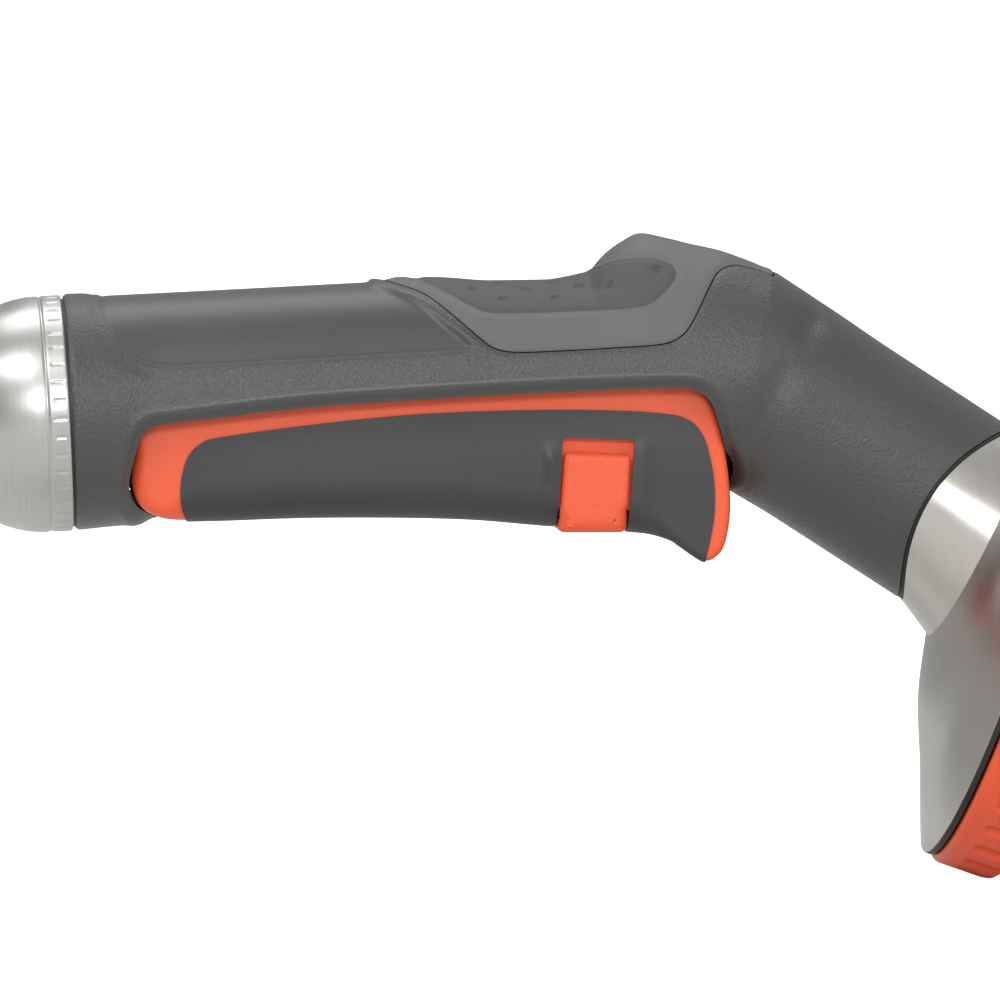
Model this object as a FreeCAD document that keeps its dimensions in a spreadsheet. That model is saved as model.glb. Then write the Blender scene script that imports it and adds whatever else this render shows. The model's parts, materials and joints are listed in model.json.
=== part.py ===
import FreeCAD, Part
import os
import re
import Sketcher
from FreeCAD import Placement, Rotation, Vector

# Trigger hose spray nozzle with a turning spray head. Millimetres, +Z up. The origin is the centre of
# the hose plug's mouth, +X runs along the handle towards the head, and Y = 0 is the plane of symmetry.

os.makedirs("parts", exist_ok=True)
doc = FreeCAD.newDocument("HoseSprayNozzle")

# ---------------------------------------------------------------- driving dimensions
SIZES = {
    # hose plug, on X from its mouth
    "plug_bore_radius": 4.75, "plug_nose_radius": 7.9, "plug_nose_length": 10.0,
    "plug_groove_start": 3.6, "plug_ring_wire": 2.1, "plug_latch_radius": 8.9, "plug_latch_width": 3.0,
    "plug_waist_radius": 7.0, "plug_waist_width": 5.0, "plug_shank_radius": 11.0,
    "plug_flange_start": 31.0, "plug_flange_radius": 14.6, "plug_flange_width": 3.5,
    "plug_tail_radius": 10.0, "strainer_thickness": 1.2, "strainer_hole_radius": 0.9,
    # rear collar: a dome that runs into a plain band
    "dome_centre": 40.0, "collar_radius": 18.9, "collar_band": 3.5, "collar_wall": 2.0,
    "collar_seal_width": 0.5,
    # handle and neck: oval sections on one bent axis
    "grip_length": 108.0, "grip_half_height": 18.2, "grip_half_width": 17.0, "grip_waist": 0.4,
    "shell_wall": 2.6, "skin_depth": 1.5, "neck_tilt": 36.0, "neck_radius": 16.9, "neck_length": 41.3,
    "edge_arc_radius": 28.0, "gasket_width": 0.8, "spigot_wall": 1.7, "rib_width": 2.0,
    "boss_radius": 3.4, "screw_radius": 1.4, "screw_head_radius": 2.7, "screw_head_height": 2.0,
    # trigger, measured from its pivot
    "pivot_from_handle": 14.2, "pivot_drop": 10.3, "trigger_reach": 90.5, "trigger_half_width": 12.4,
    "trigger_wall": 1.8, "pad_depth": 1.2, "web_thickness": 3.2, "pin_radius": 2.0,
    "running_gap": 0.05, "ear_inner": 7.1, "ear_width": 2.0,
    # lock button on the trigger
    "lock_width": 11.4, "lock_travel": 1.8, "lock_lean": 9.0, "side_gap": 0.35,
    # water way and valve
    "tube_radius": 6.5, "tube_wall": 1.9, "bend_radius": 22.0, "socket_depth": 6.0,
    "valve_reach": 49.8, "valve_radius": 8.8, "port_boss_radius": 8.2, "port_boss_length": 14.0,
    "valve_bottom": 8.5, "valve_top": 11.0, "chamber_radius": 6.4, "outlet_radius": 4.6,
    "seat_floor": 0.6, "seat_thickness": 1.8, "seat_hole_radius": 3.6, "disc_thickness": 1.6,
    "disc_radius": 5.6, "stem_radius": 1.95, "stem_tip": 16.0, "stem_head_radius": 4.4,
    "stem_head_height": 1.2, "cap_thread_depth": 2.5, "cap_skirt": 1.1, "cap_top": 13.8,
    "valve_spring_radius": 3.4, "valve_spring_wire": 0.7,
    # spray head, on its own axis from the casing's rim, which lies ahead of and below the neck's end
    "head_ahead": 5.0, "head_below": 21.4, "head_tilt": 22.3, "rim_radius": 35.0, "casing_wall": 2.0,
    "trim_width": 1.2, "turn_gap": 0.3, "ring_width": 11.5, "ring_radius": 36.0, "ring_wall": 5.2,
    "face_wall": 2.0, "face_recess": 1.2, "port_offset": 15.0, "port_radius": 3.4,
    "axle_radius": 3.0, "axle_head_radius": 5.2, "detent_offset": 25.8, "ball_radius": 2.0,
    "spray_hole_radius": 0.7, "jet_radius": 1.6,
    # thumb rest
    "hump_height": 23.7,
}
sheet = doc.addObject("Spreadsheet::Sheet", "Sizes")
for row, (alias, value) in enumerate(SIZES.items(), start=1):
    sheet.set(f"A{row}", alias.replace("_", " "))
    sheet.set(f"B{row}", str(value))
    sheet.setAlias(f"B{row}", alias)
doc.recompute()

# ---------------------------------------------------------------- places worked out from them
HANDLE = "(dome_centre + collar_band + collar_seal_width)"
ELBOW = f"({HANDLE} + grip_length)"
PIVOT = f"({HANDLE} + pivot_from_handle)"
TIP = f"({PIVOT} + trigger_reach)"
VALVE = f"({PIVOT} + valve_reach)"
TUBE_BORE = "(tube_radius - tube_wall)"
SOCKET = "(tube_radius + running_gap)"
CHANNEL = "(trigger_half_width - pad_depth - trigger_wall)"
ROTOR = "(trim_width + turn_gap)"
FACE_FRONT = f"({ROTOR} + ring_width - face_recess)"
FACE_RADIUS = "(ring_radius - ring_wall)"


def neck_point(along, up="0"):
    """A place on the neck: so far from the elbow, and so far up from its axis."""
    return (f"{ELBOW} + ({along}) * cos(neck_tilt) + ({up}) * sin(neck_tilt)",
            f"-({along}) * sin(neck_tilt) + ({up}) * cos(neck_tilt)")


def head_point(along, up="0"):
    """A place in the spray head: so far in front of the rim, and so far up from its axis."""
    end_x, end_z = neck_point("neck_length")
    return (f"{end_x} + head_ahead + ({along}) * cos(head_tilt) + ({up}) * sin(head_tilt)",
            f"{end_z} - head_below - ({along}) * sin(head_tilt) + ({up}) * cos(head_tilt)")


# ---------------------------------------------------------------- ways of making solids
nodes = []


def cells(text):
    """The expression with each size's name pointed at its cell."""
    return re.sub(r"[a-z][a-z_]+\b(?!\()", lambda found: "Sizes." + found.group(0), str(text))


def number(text):
    """What an expression of sizes comes to."""
    return float(sheet.evalExpression(cells(text)))


def bind(obj, **sizes):
    for name, text in sizes.items():
        obj.setExpression(name, cells(text))
    return obj


def place(obj, x="0", z="0", y="0", axis=Vector(0, 1, 0), angle="0"):
    """Puts an object at x, y, z, turned by angle about axis. About +Y a positive angle tips +X down."""
    obj.Placement = Placement(Vector(0, 0, 0), Rotation(axis, 30))
    for name, text in (("Base.x", x), ("Base.y", y), ("Base.z", z), ("Rotation.Angle", angle)):
        obj.setExpression(".Placement." + name, cells(text))
    return obj


def node(obj, label):
    """Names an object as one piece of the nozzle."""
    obj.Label = label
    nodes.append(obj)
    return obj


def rod(x, z, length, radius, tilt="0", y="0"):
    """A round bar from x, z that runs forward, tipped down by tilt."""
    bar = bind(doc.addObject("Part::Cylinder", "Rod"), Radius=radius, Height=length)
    return place(bar, x, z, y, angle=f"90 + {tilt}")


def post(x, z, height, radius, y="0"):
    return place(bind(doc.addObject("Part::Cylinder", "Post"), Radius=radius, Height=height), x, z, y)


def cross_bar(x, z, start, length, radius):
    """A round bar along +Y from Y = start."""
    bar = bind(doc.addObject("Part::Cylinder", "CrossBar"), Radius=radius, Height=length)
    return place(bar, x, z, start, axis=Vector(1, 0, 0), angle="270")


def block(x, z, length, height, half_width):
    """A box from x, z, centred on Y = 0."""
    box = bind(doc.addObject("Part::Box", "Block"), Length=length, Height=height, Width=f"2 * ({half_width})")
    return place(box, x, z, f"-({half_width})")


def cut(base, *tools):
    for tool in tools:
        result = doc.addObject("Part::Cut", "Cut")
        result.Base, result.Tool, result.Refine = base, tool, False
        base = result
    return base


def fuse(*shapes):
    result = doc.addObject("Part::MultiFuse", "Fuse")
    result.Shapes, result.Refine = list(shapes), False
    return result


def common(*shapes):
    result = doc.addObject("Part::MultiCommon", "Common")
    result.Shapes, result.Refine = list(shapes), False
    return result


def group(*shapes):
    result = doc.addObject("Part::Compound", "Group")
    result.Links = list(shapes)
    return result


def draw_outline(sketch, points):
    """Closes a line through the points, each held by its distances from the sketch's origin."""
    spots = [Vector(number(x), number(z), 0) for x, z in points]
    for k, spot in enumerate(spots):
        sketch.addGeometry(Part.LineSegment(spot, spots[(k + 1) % len(spots)]), False)
    for k in range(len(spots)):
        sketch.addConstraint(Sketcher.Constraint("Coincident", k, 2, (k + 1) % len(spots), 1))
    for k, (texts, spot) in enumerate(zip(points, spots)):
        for kind, text, now, line in (("DistanceX", texts[0], spot.x, -2),
                                      ("DistanceY", texts[1], spot.y, -1)):
            if text == "0":
                sketch.addConstraint(Sketcher.Constraint("PointOnObject", k, 1, line))
                continue
            rule = sketch.addConstraint(Sketcher.Constraint(kind, -1, 1, k, 1, now))
            sketch.setExpression(f"Constraints[{rule}]", cells(text))


def prism(points, half_width):
    """An outline in X and Z, drawn out to both sides of Y = 0."""
    sketch = doc.addObject("Sketcher::SketchObject", "Outline")
    sketch.Placement = Placement(Vector(0, 0, 0), Rotation(Vector(1, 0, 0), 90))
    draw_outline(sketch, points)
    solid = doc.addObject("Part::Extrusion", "Prism")
    solid.Base, solid.DirMode, solid.Solid, solid.Symmetric = sketch, "Normal", True, True
    return bind(solid, LengthFwd=f"2 * ({half_width})")


def body_sketch(body, name):
    plane = [part for part in body.Origin.OriginFeatures if part.Role == "XZ_Plane"][0]
    sketch = body.newObject("Sketcher::SketchObject", name)
    sketch.AttachmentSupport = [(plane, "")]
    sketch.MapMode = "FlatFace"
    return sketch


def turned(points, x="0", z="0", tilt="0"):
    """A PartDesign body turned about its own X axis from an outline of (along, radius)."""
    body = doc.addObject("PartDesign::Body", "Turned")
    sketch = body_sketch(body, "Profile")
    draw_outline(sketch, points)
    solid = body.newObject("PartDesign::Revolution", "Revolution")
    solid.Profile, solid.ReferenceAxis, solid.Angle = sketch, (sketch, ["H_Axis"]), 360
    return place(body, x, z, angle=tilt)


def washer(start, width, inner, outer, x="0", z="0", tilt="0"):
    """A plain ring, or a disc where inner is 0."""
    end = f"({start}) + ({width})"
    return turned([(start, inner), (end, inner), (end, outer), (start, outer)], x, z, tilt)


def coil(x, z, y, radius, wire, height, turns, axis=Vector(0, 1, 0), angle="0"):
    """A round-wire coil spring that stands on x, y, z along its own Z axis."""
    body = doc.addObject("PartDesign::Body", "Coil")
    sketch = body_sketch(body, "Wire")
    sketch.addGeometry(Part.Circle(Vector(number(radius), 0, 0), Vector(0, 0, 1), number(wire) / 2), False)
    sketch.addConstraint(Sketcher.Constraint("PointOnObject", 0, 3, -1))
    for kind, rule_args, text in (("DistanceX", (-1, 1, 0, 3), radius), ("Diameter", (0,), wire)):
        rule = sketch.addConstraint(Sketcher.Constraint(kind, *rule_args, number(text)))
        sketch.setExpression(f"Constraints[{rule}]", cells(text))
    helix = body.newObject("PartDesign::AdditiveHelix", "Helix")
    helix.Profile, helix.ReferenceAxis, helix.Mode = sketch, (sketch, ["V_Axis"]), "pitch-height-angle"
    bind(helix, Height=f"({height}) - ({wire})", Pitch=f"(({height}) - ({wire})) / {turns}")
    return place(body, x, z, y, axis, angle)


def oval(x, z, half_height, half_width, tilt="0"):
    """An upright ellipse across the axis, used as a section of a loft."""
    ring = bind(doc.addObject("Part::Ellipse", "Section"), MajorRadius=half_height, MinorRadius=half_width)
    return place(ring, x, z, angle=f"{tilt} - 90")


def loft(sections):
    solid = doc.addObject("Part::Loft", "Loft")
    solid.Sections, solid.Solid, solid.Ruled = sections, True, True
    return solid


# ---------------------------------------------------------------- hose plug, O-ring and strainer
LATCH_END = "(plug_nose_length + plug_latch_width)"
WAIST_END = f"({LATCH_END} + plug_waist_width)"
FLANGE_END = "(plug_flange_start + plug_flange_width)"
GROOVE_FLOOR = "(plug_nose_radius - plug_ring_wire)"
TAIL_END = f"({HANDLE} + 6)"
TUBE_START = f"({FLANGE_END} + 2 + strainer_thickness)"
plug = turned([
    ("0", "plug_bore_radius"), ("0", "plug_nose_radius"),
    ("plug_groove_start", "plug_nose_radius"), ("plug_groove_start", GROOVE_FLOOR),
    ("plug_groove_start + plug_ring_wire + 0.2", GROOVE_FLOOR),
    ("plug_groove_start + plug_ring_wire + 0.2", "plug_nose_radius"),
    ("plug_nose_length", "plug_nose_radius"), ("plug_nose_length", "plug_latch_radius"),
    (LATCH_END, "plug_latch_radius"), (f"{LATCH_END} + 0.8", "plug_waist_radius"),
    (WAIST_END, "plug_waist_radius"), (f"{WAIST_END} + 1.5", "plug_shank_radius"),
    ("plug_flange_start", "plug_shank_radius"), ("plug_flange_start", "plug_flange_radius"),
    (FLANGE_END, "plug_flange_radius"), (FLANGE_END, "plug_tail_radius"), (TAIL_END, "plug_tail_radius"),
    (TAIL_END, SOCKET), (f"{FLANGE_END} + 2", SOCKET), (f"{FLANGE_END} + 2", "plug_bore_radius")])
node(plug, "inlet_plug")

o_ring = bind(doc.addObject("Part::Torus", "InletRing"), Radius2="plug_ring_wire / 2",
              Radius1="plug_nose_radius - plug_ring_wire / 2")
place(o_ring, "plug_groove_start + plug_ring_wire / 2 + 0.1", angle="90")
node(o_ring, "inlet_o_ring")

strainer = post("0", "0", "strainer_thickness", "tube_radius")
strainer = place(strainer, f"{FLANGE_END} + 2", angle="90")
strainer_holes = []
for ring, count in ((1, 6), (2, 12)):
    for k in range(count):
        strainer_holes.append(rod(f"{FLANGE_END} + 1", f"{ring} * 2.1 * sin({k} * 360 / {count})",
                                  "strainer_thickness + 2", "strainer_hole_radius",
                                  y=f"{ring} * 2.1 * cos({k} * 360 / {count})"))
strainer_holes.append(rod(f"{FLANGE_END} + 1", "0", "strainer_thickness + 2", "strainer_hole_radius"))
node(cut(strainer, group(*strainer_holes)), "inlet_strainer")

# ---------------------------------------------------------------- rear collar and its seal
SPIGOT = "(collar_radius - collar_wall - 2 * running_gap)"
COLLAR_END = "(dome_centre + collar_band)"
dome = turned([
    (f"dome_centre - sqrt(collar_radius ^ 2 - (collar_radius * sin({angle})) ^ 2)",
     f"collar_radius * sin({angle})") for angle in (38, 46, 54, 62, 70, 78)] + [
    ("dome_centre", "collar_radius - 0.05"), ("dome_centre + 0.4", "collar_radius - 0.25"),
    ("dome_centre + 0.8", "collar_radius - 0.05"), (COLLAR_END, "collar_radius - 0.05"),
    (COLLAR_END, "collar_radius - collar_wall"), ("dome_centre - 2", "collar_radius - collar_wall"),
    (FLANGE_END, "plug_flange_radius + 0.2"), ("plug_flange_start", "plug_flange_radius + 0.2"),
    ("plug_flange_start", "plug_shank_radius + 0.1"),
    ("dome_centre - collar_radius * cos(38) + 1", "plug_shank_radius + 0.1")])
node(dome, "rear_collar")
node(washer(COLLAR_END, "collar_seal_width", SPIGOT + " + running_gap", "collar_radius - 0.7"), "collar_seal")

# ---------------------------------------------------------------- handle and neck forms
def handle_form(inset, front="0", back="0"):
    """The bent oval form of the handle and neck, smaller by inset and longer by front and back."""
    stations = [
        (f"{HANDLE} - {back}", "0", "collar_radius - 0.2", "collar_radius - 0.3", "0"),
        (f"{HANDLE} + 4.5", "0", "collar_radius - 0.8", "grip_half_width + 0.5", "0"),
        (f"{HANDLE} + 9", "0", "grip_half_height - grip_waist", "grip_half_width - 0.2", "0"),
        (f"{HANDLE} + 18", "0", "grip_half_height + 0.1", "grip_half_width", "0"),
        (f"{HANDLE} + grip_length / 2", "0", "grip_half_height", "grip_half_width", "0"),
        (f"{ELBOW} - 24", "0", "grip_half_height - 0.4", "grip_half_width", "0"),
        (f"{ELBOW} - 10", "0", "grip_half_height - 0.6", "grip_half_width", "neck_tilt / 6"),
        (ELBOW, "0", "neck_radius + 0.8", "neck_radius + 0.1", "neck_tilt / 2"),
        (*neck_point("neck_length * 0.25"), "neck_radius + 0.1", "neck_radius", "neck_tilt * 0.9"),
        (*neck_point("neck_length * 0.4"), "neck_radius + 0.01", "neck_radius", "neck_tilt"),
        (*neck_point(f"neck_length + 5 + {front}"), "neck_radius + 0.01", "neck_radius", "neck_tilt")]
    return loft([oval(x, z, f"{tall} - {inset}", f"{wide} - {inset}", tilt)
                 for x, z, tall, wide, tilt in stations])


outer_form = handle_form("0")
skin_form = handle_form("skin_depth")
rib_form = handle_form("(skin_depth + shell_wall) / 2")
hollow_form = handle_form("shell_wall", front="4", back="2")

OPENING_TOP = "(-0.4)"
trigger_opening = prism([
    (f"{PIVOT} - 3.2", "-30"), (f"{PIVOT} - 4.8", "-12"), (f"{PIVOT} - 3.8", "-6"), (f"{PIVOT} - 0.7", "-1.8"),
    (f"{PIVOT} + 4", OPENING_TOP), (f"{TIP} - 5.2", OPENING_TOP), (f"{TIP} - 1.2", "-1.6"),
    (f"{TIP} + 1.3", "-6.5"), (f"{TIP} + 2.5", "-15"), (f"{TIP} + 2", "-17"), (f"{TIP} + 0.6", "-19"),
    (f"{TIP} + 0.6", "-30")], "grip_half_width + 5")

EDGE_CENTRE = neck_point("neck_length - 5.5 + edge_arc_radius")


def edge_drum(extra):
    """The drum across the neck that gives the casing's back edge its curve."""
    return cross_bar(*EDGE_CENTRE, "-30", "60", f"edge_arc_radius + {extra}")


# ---------------------------------------------------------------- thumb rest and its pad
rest_form = loft([oval(f"{ELBOW} + ({dx})", "0", tall, wide) for dx, tall, wide in (
    (-60, "grip_half_height + 0.15", "grip_half_width + 0.15"),
    (-25, "grip_half_height - 0.3", "grip_half_width + 0.15"),
    (-21.8, "0.85 * hump_height", "grip_half_width + 0.1"),
    (-18.7, "0.94 * hump_height", "grip_half_width + 0.1"),
    (-15.4, "hump_height", "grip_half_width"),
    (-11.5, "0.96 * hump_height", "grip_half_width"),
    (-7.5, "0.91 * hump_height", "grip_half_width"),
    (-2.8, "0.86 * hump_height", "grip_half_width"),
    (1.1, "0.79 * hump_height", "grip_half_width - 0.6"),
    (9, "0.58 * hump_height", "grip_half_width - 4"))])
rest_space = prism([
    (f"{ELBOW} - 55", "18.2"), (f"{ELBOW} - 49.5", "16.3"), (f"{ELBOW} - 44.9", "12.1"),
    (f"{ELBOW} - 38.7", "6.9"), (f"{ELBOW} - 35", "5.8"), (f"{ELBOW} - 10", "6.1"),
    (f"{ELBOW} - 7.1", "7.7"), (f"{ELBOW} - 3.4", "13.9"), (f"{ELBOW} + 0.3", "17.4"),
    (f"{ELBOW} + 6.5", "15.2"), (f"{ELBOW} + 6.5", "hump_height + 6"),
    (f"{ELBOW} - 55", "hump_height + 6")], "grip_half_width + 4")
pad_space = prism([
    (f"{ELBOW} - 48.6", "17"), (f"{ELBOW} - 44.7", "15.4"), (f"{ELBOW} - 38.5", "12.2"),
    (f"{ELBOW} - 16", "12"), (f"{ELBOW} - 12", "15.2"), (f"{ELBOW} - 10.5", "18.5"),
    (f"{ELBOW} - 17", "hump_height + 5"), (f"{ELBOW} - 48.6", "hump_height + 5")], "grip_half_width + 2")
node(cut(common(rest_form, cut(rest_space, pad_space)), skin_form), "thumb_rest")
node(cut(common(rest_form, pad_space), skin_form), "thumb_pad")

# ---------------------------------------------------------------- handle shells
SCREW_SPOTS = [(f"{HANDLE} + 28", "11.2"), (f"{ELBOW} - 21", "9.6"),
               neck_point("neck_length * 0.3", "10.5"), neck_point("neck_length * 0.6", "-10.5")]
COUNTERBORE = "9.5"
skin = cut(outer_form, hollow_form, trigger_opening, edge_drum("gasket_width"), cut(rest_space, skin_form))
spigot = washer("dome_centre - 1.8", f"{HANDLE} + 3.8 - dome_centre", f"{SPIGOT} - spigot_wall", SPIGOT)
collar_land = washer(HANDLE, "2", f"{SPIGOT} - spigot_wall", "collar_radius - shell_wall + 1")
back_wall = rod(TAIL_END, "0", "rib_width", "collar_radius")
ears = cut(block(TAIL_END, "-pivot_drop - 4", f"{PIVOT} + 5 - {TAIL_END}", "40", "ear_inner + ear_width"),
           block(f"{TAIL_END} - 1", "-30", "60", "60", "ear_inner"))
saddles = [block(x, "-port_boss_radius", "rib_width", "30", f"{CHANNEL} - 0.6")
           for x in (f"{VALVE} - port_boss_length - 4", f"{TIP} - 9")]
neck_wall = rod(*neck_point("neck_length * 0.72"), "rib_width", "neck_radius", "neck_tilt")
bosses = [cross_bar(x, z, "-20", "40", "boss_radius") for x, z in SCREW_SPOTS]
tube_way = [rod(TAIL_END + " - 1", "0", f"{ELBOW} - {TAIL_END}", SOCKET),
            rod(*neck_point("4"), "60", SOCKET, "neck_tilt")]
screw_ways = [cross_bar(x, z, "-8.5", "30", "screw_radius") for x, z in SCREW_SPOTS]
head_ways = [cross_bar(x, z, COUNTERBORE + " - screw_head_height", "30", "screw_head_radius + 0.1")
             for x, z in SCREW_SPOTS]
pin_way = cross_bar(PIVOT, "-pivot_drop", "-20", "40", "pin_radius")
trigger_room = cut(prism([
    (f"{PIVOT} - 4", "-40"), (f"{PIVOT} - 5.3", "-6"), (f"{PIVOT} - 3", "3"), (f"{TIP} - 3", "9.5"),
    (f"{TIP} + 1.6", "4"), (f"{TIP} + 2.5", "-40")], "trigger_half_width + 0.5"),
    block(f"{PIVOT} - 8", "-45", "trigger_reach + 20", "80", CHANNEL + " - 0.4"))
ribs = common(fuse(back_wall, ears, neck_wall, *saddles, *bosses), rib_form)
ribs = cut(ribs, *tube_way, pin_way, trigger_room)
whole_shell = fuse(skin, spigot, collar_land, ribs)
FAR = "300"
left_side = place(bind(doc.addObject("Part::Box", "Side"), Length=FAR, Width="60", Height=FAR),
                  "0", "-150", "-60")
node(cut(common(whole_shell, left_side), group(*screw_ways)), "handle_shell_left")
node(cut(whole_shell, left_side, group(*screw_ways), group(*head_ways)), "handle_shell_right")

screws = []
for x, z in SCREW_SPOTS:
    shank = cross_bar(x, z, "-8", COUNTERBORE + " + 8 - screw_head_height", "screw_radius")
    head = cross_bar(x, z, COUNTERBORE + " - screw_head_height", "screw_head_height", "screw_head_radius")
    slot = block(f"{x} - screw_head_radius", f"{z} - 0.35", "2 * screw_head_radius", "0.7", "30")
    slot_room = cross_bar(x, z, COUNTERBORE + " - 0.8", "2", "screw_head_radius + 1")
    screws.append(cut(fuse(shank, head), common(slot, slot_room)))
node(group(*screws), "shell_screws")

# ---------------------------------------------------------------- trigger, its pad, pin and spring
BELLY = [(f"{TIP} - 4.7", "-29.3"), (f"{TIP} - 8.4", "-26.5"), (f"{TIP} - 12.2", "-24.8"),
         (f"{TIP} - 29", "-22.6"), (f"{PIVOT} + 41.8", "-20.2"), (f"{PIVOT} + 13.8", "-18.8"),
         (f"{PIVOT} + 1.8", "-18.4"), (f"{PIVOT} - 2", "-16.8")]
BACK = [(f"{PIVOT} - 3.8", "-12.5"), (f"{PIVOT} - 3.6", "-7"), (f"{PIVOT} - 1.6", "-4"),
        (f"{PIVOT} + 1.8", "-2.8"), (f"{PIVOT} + 23.8", "-1.6")]
FRONT = [(f"{TIP} - 5.7", "-1.6"), (f"{TIP} - 2.7", "-3"), (f"{TIP} - 0.5", "-10.9"), (TIP, "-17.5"),
         (f"{TIP} - 0.9", "-25.5"), (f"{TIP} - 2.9", "-28.7")]
lever_form = prism(BACK + FRONT + BELLY, "trigger_half_width")
lever_core = prism(BACK + FRONT + [(x, f"({z}) + pad_depth") for x, z in BELLY],
                   "trigger_half_width - pad_depth")
pad_room = prism([
    (f"{PIVOT} + 4.8", "-32"), (f"{PIVOT} + 3.1", "-15.2"), (f"{PIVOT} + 3.3", "-12"), (f"{PIVOT} + 4.2", "-8.8"),
    (f"{PIVOT} + 8.3", "-5.3"), (f"{PIVOT} + 22.4", "-4.2"), (f"{TIP} - 36", "-3.6"), (f"{TIP} - 20", "-4.4"),
    (f"{TIP} - 7.3", "-6.1"), (f"{TIP} - 4.2", "-8"), (f"{TIP} - 2.4", "-14.5"), (f"{TIP} - 2.6", "-21.2"),
    (f"{TIP} - 4.2", "-28"), (f"{TIP} - 8", "-32")], "trigger_half_width + 1")
channel = prism([
    (f"{PIVOT} - 10", "-15.2"), (f"{PIVOT} + 13.8", "-15.6"), (f"{PIVOT} + 41.8", "-17"), (f"{TIP} - 29", "-19.4"),
    (f"{TIP} - 12.2", "-21.6"), (f"{TIP} - 8.2", "-23.2"), (f"{TIP} - 4.7", "-25"), (f"{TIP} - 2.8", "-20"),
    (f"{TIP} - 2.5", "-15.5"), (f"{TIP} + 4", "-15.5"), (f"{TIP} + 4", "5"), (f"{PIVOT} - 10", "5")], CHANNEL)
# the valve's room in the lever, which only widens a channel that is narrower than the valve
valve_room = block(f"{VALVE} - port_boss_length - 1", "-valve_bottom - 5", "2 * port_boss_length + 2", "30",
                   "valve_radius + 0.5")
LOCK_LEFT = f"({TIP} - 28.1)"
LOCK_FOOT = "(-24)"


def lock_outline(gap, foot, top):
    """A leaning four-sided outline between two levels, gap inside the window's sides."""
    lean = "tan(lock_lean)"
    near, far = f"{LOCK_LEFT} + {gap}", f"{LOCK_LEFT} + lock_width - {gap}"
    low, high = f"(({foot}) - {LOCK_FOOT}) * {lean}", f"(({top}) - {LOCK_FOOT}) * {lean}"
    return [(f"{near} + {low}", foot), (f"{far} + {low}", foot), (f"{far} + {high}", top), (f"{near} + {high}", top)]


LOCK_TOP = "(-10.8)"
BRIDGE_TOP = "(-14.4)"
LOCK_WEB = "2.6"
LOCK_FLOOR = f"({CHANNEL} + 1.4)"
window = fuse(
    cut(prism(lock_outline("0", "-34", f"{LOCK_TOP} + lock_travel + 0.4"), "trigger_half_width + 2"),
        block(f"{LOCK_LEFT} - 9", "-50", "lock_width + 20", "60", LOCK_FLOOR)),
    prism(lock_outline("0", "-34", f"{LOCK_FOOT} + {LOCK_WEB} + lock_travel + 0.4"), LOCK_FLOOR + " + 0.5"))
bridge = block(f"{LOCK_LEFT} - 1", f"{BRIDGE_TOP} - 1.4", "lock_width + 4", "1.4", CHANNEL + " + 0.3")
stem_boss = post(VALVE, "-19.5", "19.5 - stem_tip - side_gap", "4")
pin_hole = cross_bar(PIVOT, "-pivot_drop", "-20", "40", "pin_radius + running_gap")
pad = cut(common(lever_form, pad_room), lever_core, window, pin_hole)
lever = cut(lever_form, cut(pad_room, lever_core), channel, valve_room, window)
node(cut(fuse(lever, bridge, stem_boss), pin_hole), "trigger")
node(pad, "trigger_pad")
node(cross_bar(PIVOT, "-pivot_drop", "-trigger_half_width + 0.3", "2 * trigger_half_width - 0.6", "pin_radius"),
     "trigger_pin")
node(coil(PIVOT, "-pivot_drop", "-ear_inner + 1", "pin_radius + 0.9", "0.8", "2 * ear_inner - 2", 6,
          axis=Vector(1, 0, 0), angle="270"), "trigger_spring")

# ---------------------------------------------------------------- lock button and its spring
button = prism(lock_outline("side_gap", LOCK_FOOT, LOCK_TOP), "trigger_half_width + 0.2")
button_hollow = prism(lock_outline("-1", f"{LOCK_FOOT} + {LOCK_WEB}", "0"), LOCK_FLOOR + " + side_gap")
node(cut(button, button_hollow), "lock_button")
LOCK_SPRING_X = f"({LOCK_LEFT} + lock_width / 2 + 1)"
node(coil(LOCK_SPRING_X, f"{LOCK_FOOT} + 3", "0", "3", "0.6", f"{BRIDGE_TOP} - 1.4 - {LOCK_FOOT} - 3.2", 4),
     "lock_spring")

# ---------------------------------------------------------------- tubes and valve
VALVE_BACK = f"({VALVE} - port_boss_length)"
VALVE_FRONT = f"({VALVE} + port_boss_length)"
rear_tube = turned([(TUBE_START, TUBE_BORE), (f"{VALVE_BACK} + socket_depth", TUBE_BORE),
                    (f"{VALVE_BACK} + socket_depth", "tube_radius"), (TUBE_START, "tube_radius")])
node(rear_tube, "rear_tube")

BEND_RUN = "(bend_radius * tan(neck_tilt / 2))"


def bent_bar(radius, extra):
    """A bar from the valve to the head, straight, round the bend at the elbow and straight again."""
    start = f"({VALVE_FRONT} - socket_depth - {extra})"
    bend = bind(doc.addObject("Part::Torus", "Bend"), Radius1="bend_radius", Radius2=radius, Angle3="neck_tilt")
    bend.Placement = Placement(Vector(0, 0, 0), Rotation(Vector(1, 0, 0), -90))
    turn = place(group(bend), f"{ELBOW} - {BEND_RUN}", "-bend_radius", angle="270")
    return fuse(rod(start, "0", f"{ELBOW} - {BEND_RUN} - {start}", radius), turn,
                rod(*neck_point(BEND_RUN), f"neck_length - {BEND_RUN} + 3 + {extra}", radius, "neck_tilt"))


node(cut(bent_bar("tube_radius", "0"), bent_bar(TUBE_BORE, "1")), "front_tube")

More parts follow.
